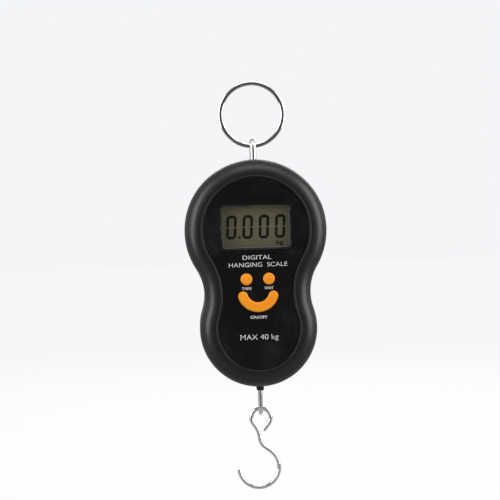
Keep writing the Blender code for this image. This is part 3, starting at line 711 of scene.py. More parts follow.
def board_laminate():
    """Green solder mask with paler tracks under it and a glassy top."""
    made, tree, shader, vector = start_material("board_green", Coat_Weight=0.3, Coat_Roughness=0.15)
    turned = put(tree, "Mapping", Vector=vector, Rotation=(math.pi / 2, 0, 0))
    tracks = put(tree, "TexBrick", {"offset": 0.37}, Vector=turned.outputs[0], Scale=160.0, Mortar_Size=0.06)
    black, white = (0.0, 0.0, 0.0, 1), (1.0, 1.0, 1.0, 1)
    connect(tree, tracks, Color1=black, Color2=black, Mortar=white)
    weave = noise(tree, vector, 2400.0, 1.0)
    mask = blend(tree, tracks.outputs["Color"], (0.010, 0.120, 0.035, 1), (0.025, 0.230, 0.060, 1))
    connect(tree, shader, Base_Color=mask, Roughness=spread(tree, weave, 0.3, 0.7, 0.32, 0.46))
    bump(tree, shader, tracks.outputs["Color"], 0.035)
    return made


def gauge_film():
    """Amber film with the folded metal grid of a strain gauge."""
    made, tree, shader, vector = start_material("gauge_foil")
    wave = put(tree, "TexWave", {"wave_type": "BANDS", "bands_direction": "X"}, Vector=vector, Scale=420.0)
    grid = spread(tree, wave.outputs[1], 0.45, 0.55, 0.0, 1.0)
    base = blend(tree, grid, (0.62, 0.30, 0.06, 1), (0.55, 0.42, 0.30, 1))
    connect(tree, shader, Base_Color=base, Roughness=spread(tree, grid, 0, 1, 0.35, 0.22))
    bump(tree, shader, grid, 0.01)
    return made


def battery_sleeve(low, high, button_up):
    """A printed sleeve in two plain bands, with a printed ring between them."""
    name = "battery_sleeve_up" if button_up else "battery_sleeve_down"
    made, tree, shader, vector = start_material(name, Coat_Weight=0.4, Coat_Roughness=0.1)
    height = put(tree, "SeparateXYZ", Vector=vector).outputs[2]
    share = spread(tree, height, low * MM, high * MM, *((0.0, 1.0) if button_up else (1.0, 0.0)))
    bands = put(tree, "ValToRGB", Fac=share)
    ramp = bands.color_ramp
    ramp.interpolation = "CONSTANT"
    stops = [(0.0, (0.55, 0.55, 0.56)), (0.02, (0.016, 0.017, 0.02)), (0.66, (0.60, 0.58, 0.55))]
    stops += [(0.69, (0.62, 0.26, 0.05)), (0.975, (0.55, 0.55, 0.56))]
    for i, (at, colour) in enumerate(stops):
        stop = ramp.elements[i] if i < 2 else ramp.elements.new(at)
        stop.position, stop.color = at, (*colour, 1)
    grain = noise(tree, vector, 1800.0, 2.0)
    connect(tree, shader, Base_Color=bands.outputs["Color"], Roughness=spread(tree, grain, 0.3, 0.7, 0.22, 0.34))
    bump(tree, shader, grain, 0.004)
    return made


def lead_sleeve(name, colour):
    """Soft vinyl insulation with a faint ripple from extrusion."""
    made, tree, shader, vector = start_material(name)
    ripple = noise(tree, vector, 900.0, 2.0)
    base = blend(tree, ripple, shades(colour, 0.75), shades(colour, 1.15))
    connect(tree, shader, Base_Color=base, Roughness=spread(tree, ripple, 0.3, 0.7, 0.38, 0.52))
    bump(tree, shader, ripple, 0.01)
    return made


MATERIALS = {}


def material(name):
    """A material by name, built on first use from the settings."""
    looks = bpy.context.scene.scale_finish
    steel = (0.56, 0.57, 0.58)
    makers = {
        "casing": lambda: moulded_plastic("casing_black", looks.casing, looks.casing_roughness),
        "panel": lambda: gloss_panel(looks.panel),
        "window": window_glass,
        "film": lambda: display_film(looks.display),
        "segments": lambda: ink("display_segments", (0.004, 0.004, 0.005), 0.4, 0.05),
        "print": lambda: ink("face_print_white", looks.print_colour, 0.5, 0.5),
        "key": lambda: moulded_plastic("key_orange", looks.keys, 0.36, 5200.0, 0.006, 0.2, 0.05),
        "chrome": lambda: plated_wire("chrome_wire", looks.plating, looks.plating_roughness),
        "steel": lambda: worked_metal("plain_steel", steel, 0.32, (1, 0.05, 1)),
        "spring": lambda: worked_metal("spring_steel", (0.66, 0.66, 0.64), 0.26, (1, 1, 0.3)),
        "contact": lambda: worked_metal("contact_nickel", (0.72, 0.70, 0.64), 0.28, (0.05, 1, 1)),
        "screw": lambda: worked_metal("screw_steel", (0.42, 0.42, 0.43), 0.34, (1, 0.08, 1), 6000.0),
        "aluminium": lambda: worked_metal("cell_aluminium", (0.78, 0.78, 0.79), 0.36, (1, 1, 0.03)),
        "board": board_laminate,
        "rubber": lambda: moulded_plastic("soft_rubber", (0.012, 0.012, 0.012), 0.72, 2600.0, 0.02, 0.1),
        "white": lambda: moulded_plastic("inner_white", (0.72, 0.72, 0.69), 0.46, 3600.0, 0.006, 0.1, 0.04),
        "grey": lambda: moulded_plastic("holder_grey", (0.20, 0.20, 0.20), 0.5, 3600.0, 0.006, 0.1, 0.04),
        "resin": lambda: moulded_plastic("resin_black", (0.012, 0.012, 0.013), 0.3, 2200.0, 0.01, 0.15),
        "gauge": gauge_film,
        "red lead": lambda: lead_sleeve("lead_red", (0.55, 0.02, 0.015)),
        "black lead": lambda: lead_sleeve("lead_black", (0.015, 0.015, 0.015)),
    }
    if name not in MATERIALS:
        MATERIALS[name] = makers[name]()
    return MATERIALS[name]


# ---------------------------------------------------------------- settings


def number(title, description, default, low=0.0, high=None, **more):
    limits = {"min": low} if high is None else {"min": low, "max": high}
    return bpy.props.FloatProperty(name=title, description=description, default=default, **limits, **more)


def length(title, description, default_mm, low=0.0, high=None):
    high = default_mm * 3 if high is None else high
    unit = {"subtype": "DISTANCE", "unit": "LENGTH", "precision": 5}
    return number(title, description, default_mm * MM, low * MM, high * MM, **unit)


def angle(title, description, degrees):
    return number(title, description, math.radians(degrees), -math.pi, subtype="ANGLE", unit="ROTATION")


def colour(title, description, default):
    return bpy.props.FloatVectorProperty(
        name=title, description=description, default=default, size=3, min=0.0, max=1.0, subtype="COLOR"
    )


class ScaleCasing(bpy.types.PropertyGroup):
    front_rounding: length("Front Rounding", "Radius of the roll round the face", 7.5, 1.0, 9.0)
    back_rounding: length("Back Rounding", "Radius round the casing's back", 5.0, 1.0, 8.0)
    lip_rounding: length("Lip Rounding", "Radius where the roll drops to the face panel", 0.4, 0.1, 0.6)
    bead_height: length("Bead Height", "Height of the slim bead round the face panel", 0.22, 0.02, 0.3)
    rim_steps: bpy.props.IntProperty(name="Rim Steps", description="Faces across each roll", default=12, min=3, max=24)
    outline_step: number("Outline Step", "Degrees between points of the outline", 2.5, 1.0, 9.0)


class ScaleFace(bpy.types.PropertyGroup):
    digit_width: length("Digit Width", "Width of a display digit", 5.0)
    digit_height: length("Digit Height", "Height of a display digit", 11.4)
    digit_pitch: length("Digit Pitch", "Distance from one digit to the next", 7.8)
    digit_stroke: length("Digit Stroke", "Width of one segment", 1.35)
    digit_lean: angle("Digit Lean", "Slant of the digits", 3)
    print_lift: length("Print Lift", "Height of the printed ink over the panel", 0.02, 0.005, 0.1)


class ScaleFinish(bpy.types.PropertyGroup):
    casing: colour("Casing", "Satin plastic of both shells and the door", (0.007, 0.007, 0.0075))
    casing_roughness: number("Casing Roughness", "Roughness of the casing's plastic", 0.37, 0.1, 0.9)
    panel: colour("Face Panel", "Gloss panel on the face", (0.004, 0.004, 0.0045))
    print_colour: colour("Print", "Lettering on the face", (0.72, 0.72, 0.70))
    keys: colour("Keys", "The three keys", (1.0, 0.33, 0.014))
    display: colour("Display", "Back of the liquid crystal display", (0.105, 0.098, 0.058))
    plating: colour("Plating", "Plated wire of ring, links and hook", (0.90, 0.89, 0.88))
    plating_roughness: number("Plating Roughness", "Roughness of the plated wire", 0.06, 0.01, 0.5)


class ScaleStage(bpy.types.PropertyGroup):
    floor: colour("Floor", "Colour of the floor", (0.05, 0.05, 0.05))
    floor_glow: number("Floor Glow", "Light given off by the floor, which keeps it evenly pale", 0.86)
    floor_drop: length("Floor Drop", "How far the floor lies under the hook", 45.0, 0.0, 500.0)
    lamp_power: number("Lamp Power", "Power of the main soft lamp", 3.8, subtype="POWER", unit="POWER")
    lens: number("Lens", "Focal length in millimetres on a 36 mm sensor", 103.6, 20.0, 300.0)
    distance: length("Camera Distance", "From the camera to the scale", 700.0, 100.0, 5000.0)
    azimuth: angle("Azimuth", "Where the camera stands round the scale", -2)
    elevation: angle("Elevation", "Height of the camera as an angle", 2.4)
    roll: angle("Roll", "Turn of the camera about its own view", -1.8)
    aim: bpy.props.FloatVectorProperty(
        name="Aim",
        description="The point at the middle of the view",
        default=(-0.0028, 0, -0.0797),
        size=3,
        subtype="TRANSLATION",
        unit="LENGTH",
        precision=5,
    )


# ---------------------------------------------------------------- casing


def tab_corners(side, grow):
    """Low and high corners of one of the door's two tabs, which reach under the edge above it."""
    middle = side * 8.0
    low = (middle - 2.5 - grow, 11.6 - grow, FACE_Z + DOOR_TOP - 1.6 - grow)
    high = (middle + 2.5 + grow, SEAT_Y - GAP + 1.5 * grow, FACE_Z + DOOR_TOP + 1.2 + grow)
    return low, high


def casing_block(name, inset, front, back, step):
    """A solid of the casing's outline, left in edit mode so that its rims can be rounded."""
    piece = trace_casing(name, inset, back, step)
    deepen(front, back)
    return piece


def casing_cutter(name, inset, front, back, step, front_round=0.0, back_round=0.0):
    piece = casing_block(name, inset, front, back, step)
    if front_round:
        round_rim(front, front_round, 5)
    if back_round:
        round_rim(back, back_round, 5)
    leave_edit()
    return piece


def opening(name, width, height, corner, rise, front, back, rounding=0.0):
    """A rounded rectangular solid on the face's middle line, to cut with or to keep."""
    middle = FACE_Z + rise
    piece = trace_box(name, (-width / 2, middle - height / 2), (width / 2, middle + height / 2), back, corner)
    make_solid(front, back, rounding)
    return piece


def smile_cutter(name, grow, front, back):
    piece = trace_smile(name, back, grow)
    make_solid(front, back)
    return piece


def wire_slots():
    """Cutters for the two openings that the links pass through."""
    slots = []
    for name, (x, y), low, high in (
        ("top_slot", TOP_SLOT, CASE_TOP - 6, CASE_TOP + 1),
        ("low_slot", LOW_SLOT, CASE_BOTTOM - 1, CASE_BOTTOM + 5),
    ):
        slots.append(block(name, (-x, -y, low), (x, y, high), 0.35))
    return slots


class SCALE_OT_front_shell(bpy.types.Operator):
    """Models the front half of the casing: its rolled rim, the sunk face, and the openings for window and keys"""

    bl_idname = "scale.front_shell"
    bl_label = "Front Shell"

    def execute(self, context):
        sizes = context.scene.scale_casing
        back = PARTING_Y - GAP / 2
        rounding, lip = sizes.front_rounding / MM, sizes.lip_rounding / MM
        shell = casing_block("casing_front", 0, FRONT_Y, back, sizes.outline_step)
        round_rim(FRONT_Y, rounding, sizes.rim_steps)
        pick("FACE", at_depth(FRONT_Y))
        bead = sizes.bead_height / MM
        flat = PANEL_INSET - GAP - lip - rounding - 3 * bead
        steps = [(flat, 0), (bead * 0.5, bead * 0.7), (bead * 0.7, bead * 0.3), (bead * 1.8, 0)]
        for start in range(0, 90, 15):
            a, b = math.radians(start), math.radians(start + 15)
            steps.append((lip * (math.sin(b) - math.sin(a)), lip * (math.cos(b) - math.cos(a))))
        for across, rise in steps:
            bpy.ops.mesh.inset(thickness=across * MM, depth=rise * MM)
        extrude(0, RECESS_Y - FRONT_Y - lip + bead, 0)
        leave_edit()
        cut(shell, [casing_cutter("front_hollow", WALL, FACE_INSIDE_Y, 6, sizes.outline_step, front_round=5)])
        cut(shell, [casing_cutter("lip_relief", LIP_INSET, PARTING_Y - 1.6, PARTING_Y + 2, sizes.outline_step)])
        posts = pegs("board_post", BOARD_POSTS, BOARD_POST, FACE_INSIDE_Y - 0.5, BOARD_SEAT_Y)
        posts += pegs("case_post", CASE_POSTS, CASE_POST, FACE_INSIDE_Y - 0.5, PARTING_Y + GAP)
        cut(shell, posts, "UNION")
        holes = pegs("board_pilot", BOARD_POSTS, BOARD_PILOT, PILOT_END_Y, 0)
        holes += pegs("case_pilot", CASE_POSTS, CASE_PILOT, -4, PARTING_Y + 1)
        width, height = WINDOW
        holes.append(opening("window_opening", width - 1.4, height - 1.4, 1.0, WINDOW_RISE, FRONT_Y - 1, PILOT_END_Y))
        holes += pegs("key_opening", ROUND_KEYS, KEY_RADIUS + KEY_CLEARANCE, *FACE_CUT)
        holes.append(smile_cutter("smile_opening", KEY_CLEARANCE, *FACE_CUT))
        cut(shell, holes + wire_slots())
        complete(shell, material("casing"), "housing", ["front_shell"])
        return {"FINISHED"}


class SCALE_OT_rear_shell(bpy.types.Operator):
    """Models the rear half of the casing, with the battery bay, the door's seat and the screw wells"""

    bl_idname = "scale.rear_shell"
    bl_label = "Rear Shell"

    def execute(self, context):
        sizes = context.scene.scale_casing
        step = sizes.outline_step
        front = PARTING_Y + GAP / 2
        shell = casing_block("casing_rear", 0, front, BACK_Y, step)
        round_rim(BACK_Y, sizes.back_rounding / MM, sizes.rim_steps)
        leave_edit()
        cut(shell, [casing_cutter("rear_hollow", WALL, -6, BACK_Y - WALL, step, back_round=3.5)])
        lip = casing_cutter("parting_lip", LIP_INSET + GAP, PARTING_Y - 1.3, PARTING_Y + 2, step)
        cut(lip, [casing_cutter("lip_inside", WALL + 0.5, PARTING_Y - 3, PARTING_Y + 4, step)])
        cut(shell, [lip], "UNION")
        outer, top, bottom = BAY_HALF + BAY_WALL, FACE_Z + BAY_TOP, FACE_Z + BAY_BOTTOM
        tray = block("bay", (-outer, BAY_FLOOR_Y, bottom - BAY_WALL), (outer, BACK_Y - 1, top + BAY_WALL))
        cut(shell, [tray], "UNION")
        hollow_low, hollow_high = (-BAY_HALF, BAY_FLOOR_Y + 0.8, bottom), (BAY_HALF, BACK_Y + 1, top)
        seat_width, seat_height = 2 * (DOOR_HALF + GAP), DOOR_TOP - DOOR_BOTTOM + 2 * GAP
        seat_rise = (DOOR_TOP + DOOR_BOTTOM) / 2
        wells = [block("bay_hollow", hollow_low, hollow_high, 0.6, 3)]
        wells.append(opening("door_seat", seat_width, seat_height, 0.9, seat_rise, SEAT_Y, BACK_Y + 1))
        for side in (-1, 1):
            wells.append(block("tab_pocket", *tab_corners(side, GAP)))
            low, high = (side * BATTERY_X - 1, 3.2, top - 1), (side * BATTERY_X + 1, 5.4, top + 4)
            wells.append(block("lead_hole", low, high, 0.3, 2))
        cut(shell, wells)
        posts = pegs("cell_post", CELL_POSTS, CELL_POST, BAY_FLOOR_Y, BACK_Y - 1)
        posts += pegs("screw_post", CASE_POSTS, SCREW_POST, PARTING_Y + 0.8, BACK_Y - 1)
        cut(shell, posts, "UNION")
        holes = pegs("cell_pilot", CELL_POSTS, CELL_PILOT, 0, 10)
        holes += pegs("screw_hole", CASE_POSTS, SCREW_HOLE, PARTING_Y, BACK_Y)
        holes += pegs("screw_well", CASE_POSTS, HEAD_HOLE, BACK_Y - HEAD_DEPTH, BACK_Y + 1, 40)
        deselect_everything()
        bpy.ops.mesh.primitive_uv_sphere_add(segments=40, ring_count=20, radius=MM)
        notch = named("thumb_notch")
        notch.scale = (6, 1.6, 4)
        notch.location = Vector((0, BACK_Y + 0.3, FACE_Z + DOOR_BOTTOM - 1.5)) * MM
        bpy.ops.object.transform_apply(location=True, rotation=False, scale=True)
        cut(shell, [*holes, notch, *wire_slots()])
        complete(shell, material("casing"), "housing", ["rear_shell"])
        return {"FINISHED"}


class SCALE_OT_battery_door(bpy.types.Operator):
    """Models the battery door with its two tabs, its tongue and its grip ribs"""

    bl_idname = "scale.battery_door"
    bl_label = "Battery Door"

    def execute(self, context):
        front, top, bottom = SEAT_Y + GAP, FACE_Z + DOOR_TOP, FACE_Z + DOOR_BOTTOM
        door = trace_box("battery_lid", (-DOOR_HALF, bottom), (DOOR_HALF, top), BACK_Y, 0.8)
        deepen(front, BACK_Y)
        round_rim(BACK_Y, 0.35, 3)
        leave_edit()
        parts = []
        for side in (-1, 1):
            (x0, y0, z0), (x1, y1, z1) = tab_corners(side, 0)
            parts.append(block("tab", (x0, y0, z0), (x1, y1, z1), 0.2, 2))
            parts.append(block("tab_stem", (x0, y0, z0), (x1, front + 0.5, z0 + 1.3), 0.2, 2))
        tongue_low = (-3, 10.2, FACE_Z + BAY_BOTTOM + 0.4)
        parts.append(block("tongue", tongue_low, (3, front + 0.5, FACE_Z + BAY_BOTTOM + 1.4), 0.25, 2))
        rib = block("grip_rib", (-6, BACK_Y - 0.5, bottom + 4), (6, BACK_Y + 0.4, bottom + 4.8), 0.3, 3)
        parts.append(rib)
        parts += [copy_of(rib, "grip_rib", (0, 0, 1.8 * i)) for i in range(1, 5)]
        cut(door, parts, "UNION")
        complete(door, material("casing"), "door", ["battery_door"])
        return {"FINISHED"}


# ---------------------------------------------------------------- face


def lettering(name, words, width, height, rise, x=0.0, weight=0.0, y=PANEL_FRONT_Y, lift=0.02):
    """Printed words as a thin mesh on a flat face, fitted to a width and a height. Weight fattens the strokes."""
    deselect_everything()
    bpy.ops.object.text_add()
    piece = bpy.context.object
    piece.data.body = words
    piece.data.align_x, piece.data.align_y = "CENTER", "CENTER"
    piece.data.resolution_u = 4
    piece.data.offset = weight
    piece.data.extrude = 0.5
    bpy.ops.object.convert(target="MESH")
    made = bpy.context.object
    corners = [Vector(corner) for corner in made.bound_box]
    low = Vector(map(min, *corners))
    high = Vector(map(max, *corners))
    made.scale = (width * MM / (high.x - low.x), height * MM / (high.y - low.y), 2 * lift * MM)
    made.rotation_euler = (math.pi / 2, 0, 0)
    made.location = Vector((x, y, FACE_Z + rise)) * MM
    middle = (low + high) / 2
    shift = Matrix.Rotation(math.pi / 2, 3, "X") @ Vector((middle.x * made.scale.x, middle.y * made.scale.y, 0))
    made.location -= shift
    bpy.ops.object.transform_apply(location=True, rotation=True, scale=True)
    return weld(name)


class SCALE_OT_face_panel(bpy.types.Operator):
    """Models the gloss face panel and the plain lettering printed on it"""

    bl_idname = "scale.face_panel"
    bl_label = "Face Panel"

    def execute(self, context):
        step = context.scene.scale_casing.outline_step
        panel = trace_casing("gloss_panel", PANEL_INSET, PANEL_BACK_Y, step)
        make_solid(PANEL_FRONT_Y, PANEL_BACK_Y, 0.25)
        width, height = WINDOW
        front, back = PANEL_FRONT_Y - 1, PANEL_BACK_Y + 1
        holes = [opening("panel_window", width + 0.3, height + 0.3, 1.1, WINDOW_RISE, front, back)]
        key_gap = 0.2
        holes += pegs("panel_key", ROUND_KEYS, KEY_RADIUS + key_gap, front, back, 64)
        holes.append(smile_cutter("panel_smile", key_gap, front, back))
        cut(panel, holes)
        complete(panel, material("panel"), "housing", ["face_panel"])

        lift = context.scene.scale_face.print_lift / MM
        lines = [
            ("DIGITAL", 13.8, 2.0, -12.7, 0, -0.004),
            ("HANGING  SCALE", 28.0, 2.1, -16.2, 0.4, -0.004),
            ("TARE", 4.6, 1.35, -27.5, -KEY_SIDE, 0.012),
            ("UNIT", 4.2, 1.35, -27.5, KEY_SIDE, 0.012),
            ("ON/OFF", 8.0, 1.5, -41.4, 0, 0.012),
            ("MAX 40 kg", 18.3, 3.3, -51.3, 0, -0.004),
        ]
        words = [lettering("words", *line, lift=lift) for line in lines]
        sheet = join(words, "face_print")
        complete(sheet, material("print"), "housing", weigh=False)
        return {"FINISHED"}


def digit_bar(name, middle, length_mm, stroke, upright, lean, front, back):
    """One display segment: a bar with pointed ends, leaning with its digit."""
    reach, half = length_mm / 2, stroke / 2
    flat = [(-reach, 0), (-reach + half, half), (reach - half, half), (reach, 0), (reach - half, -half)]
    flat.append((-reach + half, -half))
    if upright:
        flat = [(z, x) for x, z in flat]
    base = FACE_Z + WINDOW_RISE
    corners = []
    for x, z in flat:
        height = middle[1] + z
        corners.append(Vector((middle[0] + x + height * math.tan(lean), back, base + height)))
    piece = first_corner(name, corners[0])
    for here, there in zip(corners, corners[1:] + corners[:1]):
        extrude(*(there - here))
    close_face()
    make_solid(front, back)
    return piece


class SCALE_OT_display(bpy.types.Operator):
    """Models the clear window, the display cell and the digits that show no load"""

    bl_idname = "scale.display"
    bl_label = "Display"

    def execute(self, context):
        face = context.scene.scale_face
        width, height = WINDOW
        window = opening("window", width, height, 0.95, WINDOW_RISE, PANEL_FRONT_Y, PANEL_BACK_Y, 0.2)
        complete(window, material("window"), "housing", ["display_window"])

        cell = block("display_cell", GLASS_LOW, GLASS_HIGH, 0.15, 2)
        complete(cell, material("film"), "housing", ["display_glass"])

        wide, tall = face.digit_width / MM, face.digit_height / MM
        stroke, pitch, lean = face.digit_stroke / MM, face.digit_pitch / MM, face.digit_lean
        front, back = GLASS_LOW.y - 0.03, GLASS_LOW.y + 0.01
        x, z = (wide - stroke) / 2, (tall - stroke) / 2
        length_level, length_upright = wide - stroke + 0.1, z + 0.1
        places = [((0, z), length_level, False), ((0, -z), length_level, False)]
        places += [((side * x, up * z / 2), length_upright, True) for side in (-1, 1) for up in (-1, 1)]
        bars = [
            digit_bar("bar", middle, reach, stroke, upright, lean, front, back) for middle, reach, upright in places
        ]
        zero = join(bars, "zero")
        digits = [copy_of(zero, "digit", (pitch * (i - 1.5), 0, 0)) for i in range(4)]
        bpy.data.objects.remove(zero, do_unlink=True)
        point_x = -pitch + 0.1 - tall / 2 * math.tan(lean)
        point = peg("point", (point_x, WINDOW_RISE - z + 0.1), 0.62, front, back, 20)
        unit = lettering("unit", "kg", 3.4, 2.6, WINDOW_RISE - 7.9, x=11.2, weight=0.02, y=GLASS_LOW.y - 0.01)
        ink_piece = join([*digits, point, unit], "display_digits")
        complete(ink_piece, material("segments"), "housing", weigh=False)
        return {"FINISHED"}


class SCALE_OT_keys(bpy.types.Operator):
    """Models the two round keys and the curved power key"""

    bl_idname = "scale.keys"
    bl_label = "Keys"

    def execute(self, context):
        tall, flange = KEY_BACK_Y - KEY_FRONT_Y, KEY_BACK_Y - FLANGE_Y
        cap = [(0, 0), (3.9, 0), (4.0, 0.1), (4.0, flange), (KEY_RADIUS, flange), (KEY_RADIUS, tall - 0.7)]
        cap += [(2.74, tall - 0.44), (2.58, tall - 0.24), (2.3, tall - 0.12), (1.6, tall - 0.04), (0, tall)]
        for name, (x, z) in zip(("tare", "unit"), ROUND_KEYS):
            key = turn_profile(f"{name}_cap", cap, (x, KEY_BACK_Y, FACE_Z + z), 64, (0, -1, 0))
            complete(key, material("key"), f"{name}_key", [f"{name}_button"])
        power = trace_smile("power_cap", KEY_BACK_Y)
        make_solid(KEY_FRONT_Y, KEY_BACK_Y, 0.7, 5)
        cut(power, [smile_cutter("power_flange", 1.0, FLANGE_Y, KEY_BACK_Y)], "UNION")
        complete(power, material("key"), "power_key", ["power_button"])
        return {"FINISHED"}


# ---------------------------------------------------------------- ring, links and hook


RING_INNER, RING_RADIAL, COIL_THICK, COIL_PITCH = 14.1, 2.0, 0.95, 1.05
RING_FLAT = 0.5  # what is left flat in the middle of each face of the domed wire
RING_MIDDLE = RING_INNER + RING_RADIAL / 2
JOG_AT, JOG_HALF, RING_END_GAP = 238, 15, 4  # degrees round the ring
CELL_TOP_HOLE, CELL_LOW_HOLE = 16.0, -50.0


def complete_wire(piece, body, node, sharp=60):
    complete(piece, material("chrome"), body, [node], sharp=sharp, weigh=False)


class SCALE_OT_split_ring(bpy.types.Operator):
    """Models the split ring: two turns of flat, domed wire with a step between them"""

    bl_idname = "scale.split_ring"
    bl_label = "Split Ring"

    def execute(self, context):
        flat, dome, thick = RING_FLAT / 2, (RING_RADIAL - RING_FLAT) / 2, COIL_THICK / 2
        outline = []
        for turn, side in enumerate((1, -1, -1, 1)):
            quarter = along_arc((0, 0), 1, turn * 90, turn * 90 + 90, 15)
            outline += [(side * flat + dome * across, thick * out, 0) for across, out in quarter]
        section = lay_curve(outline, True)
        section.data.dimensions = "2D"

        start, turn = JOG_AT + JOG_HALF + RING_END_GAP, 2 * (360 - JOG_HALF - RING_END_GAP)
        count = 288
        path = []
        for i in range(count + 1):
            run = turn * i / count
            share = (run - (360 - 2 * JOG_HALF - RING_END_GAP)) / (2 * JOG_HALF)
            share = min(1, max(0, share))
            across = (share * share * (3 - 2 * share) - 0.5) * COIL_PITCH
            angle = math.radians(start + run)
            path.append((RING_MIDDLE * math.cos(angle), RING_MIDDLE * math.sin(angle) - RING_INNER, -across))
        ends = [0.8, 0.95] + [1.0] * (count - 3) + [0.95, 0.8]
        ring = bend_wire("ring_coil", path, 0, thickness=ends, section=section)
        bpy.data.objects.remove(section, do_unlink=True)
        turn_about(ring, ORIGIN, 90, "X")
        complete_wire(ring, "ring", "split_ring", 50)
        return {"FINISHED"}


def link_loop(bend, top, bottom, breaks=()):
    """A closed loop of wire in the YZ plane: two round ends, joined by straight sides with points at the breaks."""
    upper = along_arc((0, top - bend), bend, 0, 180, 6)
    lower = along_arc((0, bottom + bend), bend, 180, 360, 6)
    down = [(-bend, z) for z in breaks]
    up = [(bend, z) for z in reversed(breaks)]
    return [(0, y, z) for y, z in upper + down + lower + up]


class SCALE_OT_links(bpy.types.Operator):
    """Models the wire links above and below the casing, and the bush that the lower one passes through"""

    bl_idname = "scale.links"
    bl_label = "Links and Bush"

    def execute(self, context):
        thick, thin = 1.5, 1.15
        breaks = (CASE_TOP + 0.5, CASE_TOP - 1.0, CASE_TOP - 6.0)
        loop = link_loop(4.2, ARCH_Z, FACE_Z + CELL_TOP_HOLE, breaks)
        steps = [1.0 if z > CASE_TOP else 0.93 if z > CASE_TOP - 2 else thin / thick for _, _, z in loop]
        top = bend_wire("arch_link", loop, thick, closed=True, thickness=steps, sides=7)
        complete_wire(top, "housing", "top_link")
        loop = link_loop(3.0, FACE_Z + CELL_LOW_HOLE, PIVOT_Z, (CASE_BOTTOM + 10, CASE_BOTTOM - 4))
        low = bend_wire("foot_link", loop, 1.0, closed=True, sides=7)
        complete_wire(low, "housing", "lower_link")

        bush = block("rubber_bush", (-1.7, -4.9, CASE_BOTTOM - 2.1), (1.7, 4.9, CASE_BOTTOM + 4.0), 0.35, 4)
        collar = block("collar", (-3.2, -6.5, CASE_BOTTOM + 3.1), (3.2, 6.5, CASE_BOTTOM + 4.1), 0.2, 2)
        cut(bush, [collar], "UNION")
        cut(bush, [block("slot", (-1.2, -4.25, CASE_BOTTOM - 3), (1.2, 4.25, CASE_BOTTOM + 5), 0.5, 3)])
        complete(bush, material("rubber"), "housing", ["lower_bush"])
        return {"FINISHED"}


class SCALE_OT_hook(bpy.types.Operator):
    """Models the bent wire hook: a teardrop eye, a leaning shank and a round bowl"""

    bl_idname = "scale.hook"
    bl_label = "Hook"

    def execute(self, context):
        eye_middle, eye_radius, close = (0, -2.5), 4.7, 38
        bowl_middle, bowl_radius, bowl_start, bowl_end = (-1.6, -26.8), 9.8, 46, -178
        tip, waist = (0.95, -8.8), (-0.85, -12.2)
        eye = along_arc(eye_middle, eye_radius, -close, 180 + close, 5)
        bowl = along_arc(bowl_middle, bowl_radius, bowl_start, bowl_end, 4)
        shank = along_bezier(eye[-1], (-1.9, -7.7), (-1.15, -9.6), waist, 12) + [waist]
        shank += along_bezier(waist, (-0.45, -16.6), (2.6, -17.2), bowl[0], 18)
        neck = along_bezier(tip, (1.7, -7.8), (2.9, -6.5), eye[0], 6)
        route = [tip, *neck, *eye, *shank, *bowl]
        route = [Vector((x, 0, PIVOT_Z + z)) for x, z in route]
        inwards = [(route[1] - route[0]).normalized(), (route[-2] - route[-1]).normalized()]
        route[1:1] = [route[0] + inwards[0] * 0.12, route[0] + inwards[0] * 0.3]
        route[-1:-1] = [route[-1] + inwards[1] * 0.3, route[-1] + inwards[1] * 0.12]
        ends = [0.72, 0.93] + [1.0] * (len(route) - 4) + [0.93, 0.72]
        hook = bend_wire("wire_hook", route, 1.0, thickness=ends, sides=7)
        complete_wire(hook, "hook", "s_hook")
        return {"FINISHED"}


# ---------------------------------------------------------------- screws, batteries and inner parts


class SCALE_OT_case_screws(bpy.types.Operator):
    """Models the four screws in the casing's back, with domed cross-recessed heads"""

    bl_idname = "scale.case_screws"
    bl_label = "Case Screws"

    def execute(self, context):
        seat = BACK_Y - HEAD_DEPTH + GAP
        core, crest, pitch, threads = 1.0, 1.3, 1.1, 11
        profile = [(0, 1.9), (0.9, 1.86), (1.6, 1.72), (2.1, 1.45), (2.4, 1.05), (2.5, 0.5), (2.5, 0.0), (crest, 0.0)]
        for i in range(threads):
            profile += [(core, -2.0 - pitch * i), (crest, -2.0 - pitch * (i + 0.5))]
        profile += [(core, -14.6), (0, -15.6)]
        x, z = CASE_POSTS[0]
        middle = Vector((x, seat, FACE_Z + z))
        screw = turn_profile("screw", profile, middle, 32)
        slots = []
        for across, up in ((1.35, 0.3), (0.3, 1.35)):
            low, high = middle + Vector((-across, 0.9, -up)), middle + Vector((across, 3, up))
            slots.append(block("cross", low, high, 0.1, 1))
        cut(screw, slots)
        for i, (px, pz) in enumerate(CASE_POSTS):
            made = copy_of(screw, f"cross_screw_{i + 1}", (px - x, 0, pz - z))
            turn_about(made, (px, 0, FACE_Z + pz), 12 + 37 * i)
            complete(made, material("screw"), "housing", [f"case_screw_{i + 1}"], sharp=40)
        bpy.data.objects.remove(screw, do_unlink=True)
        return {"FINISHED"}


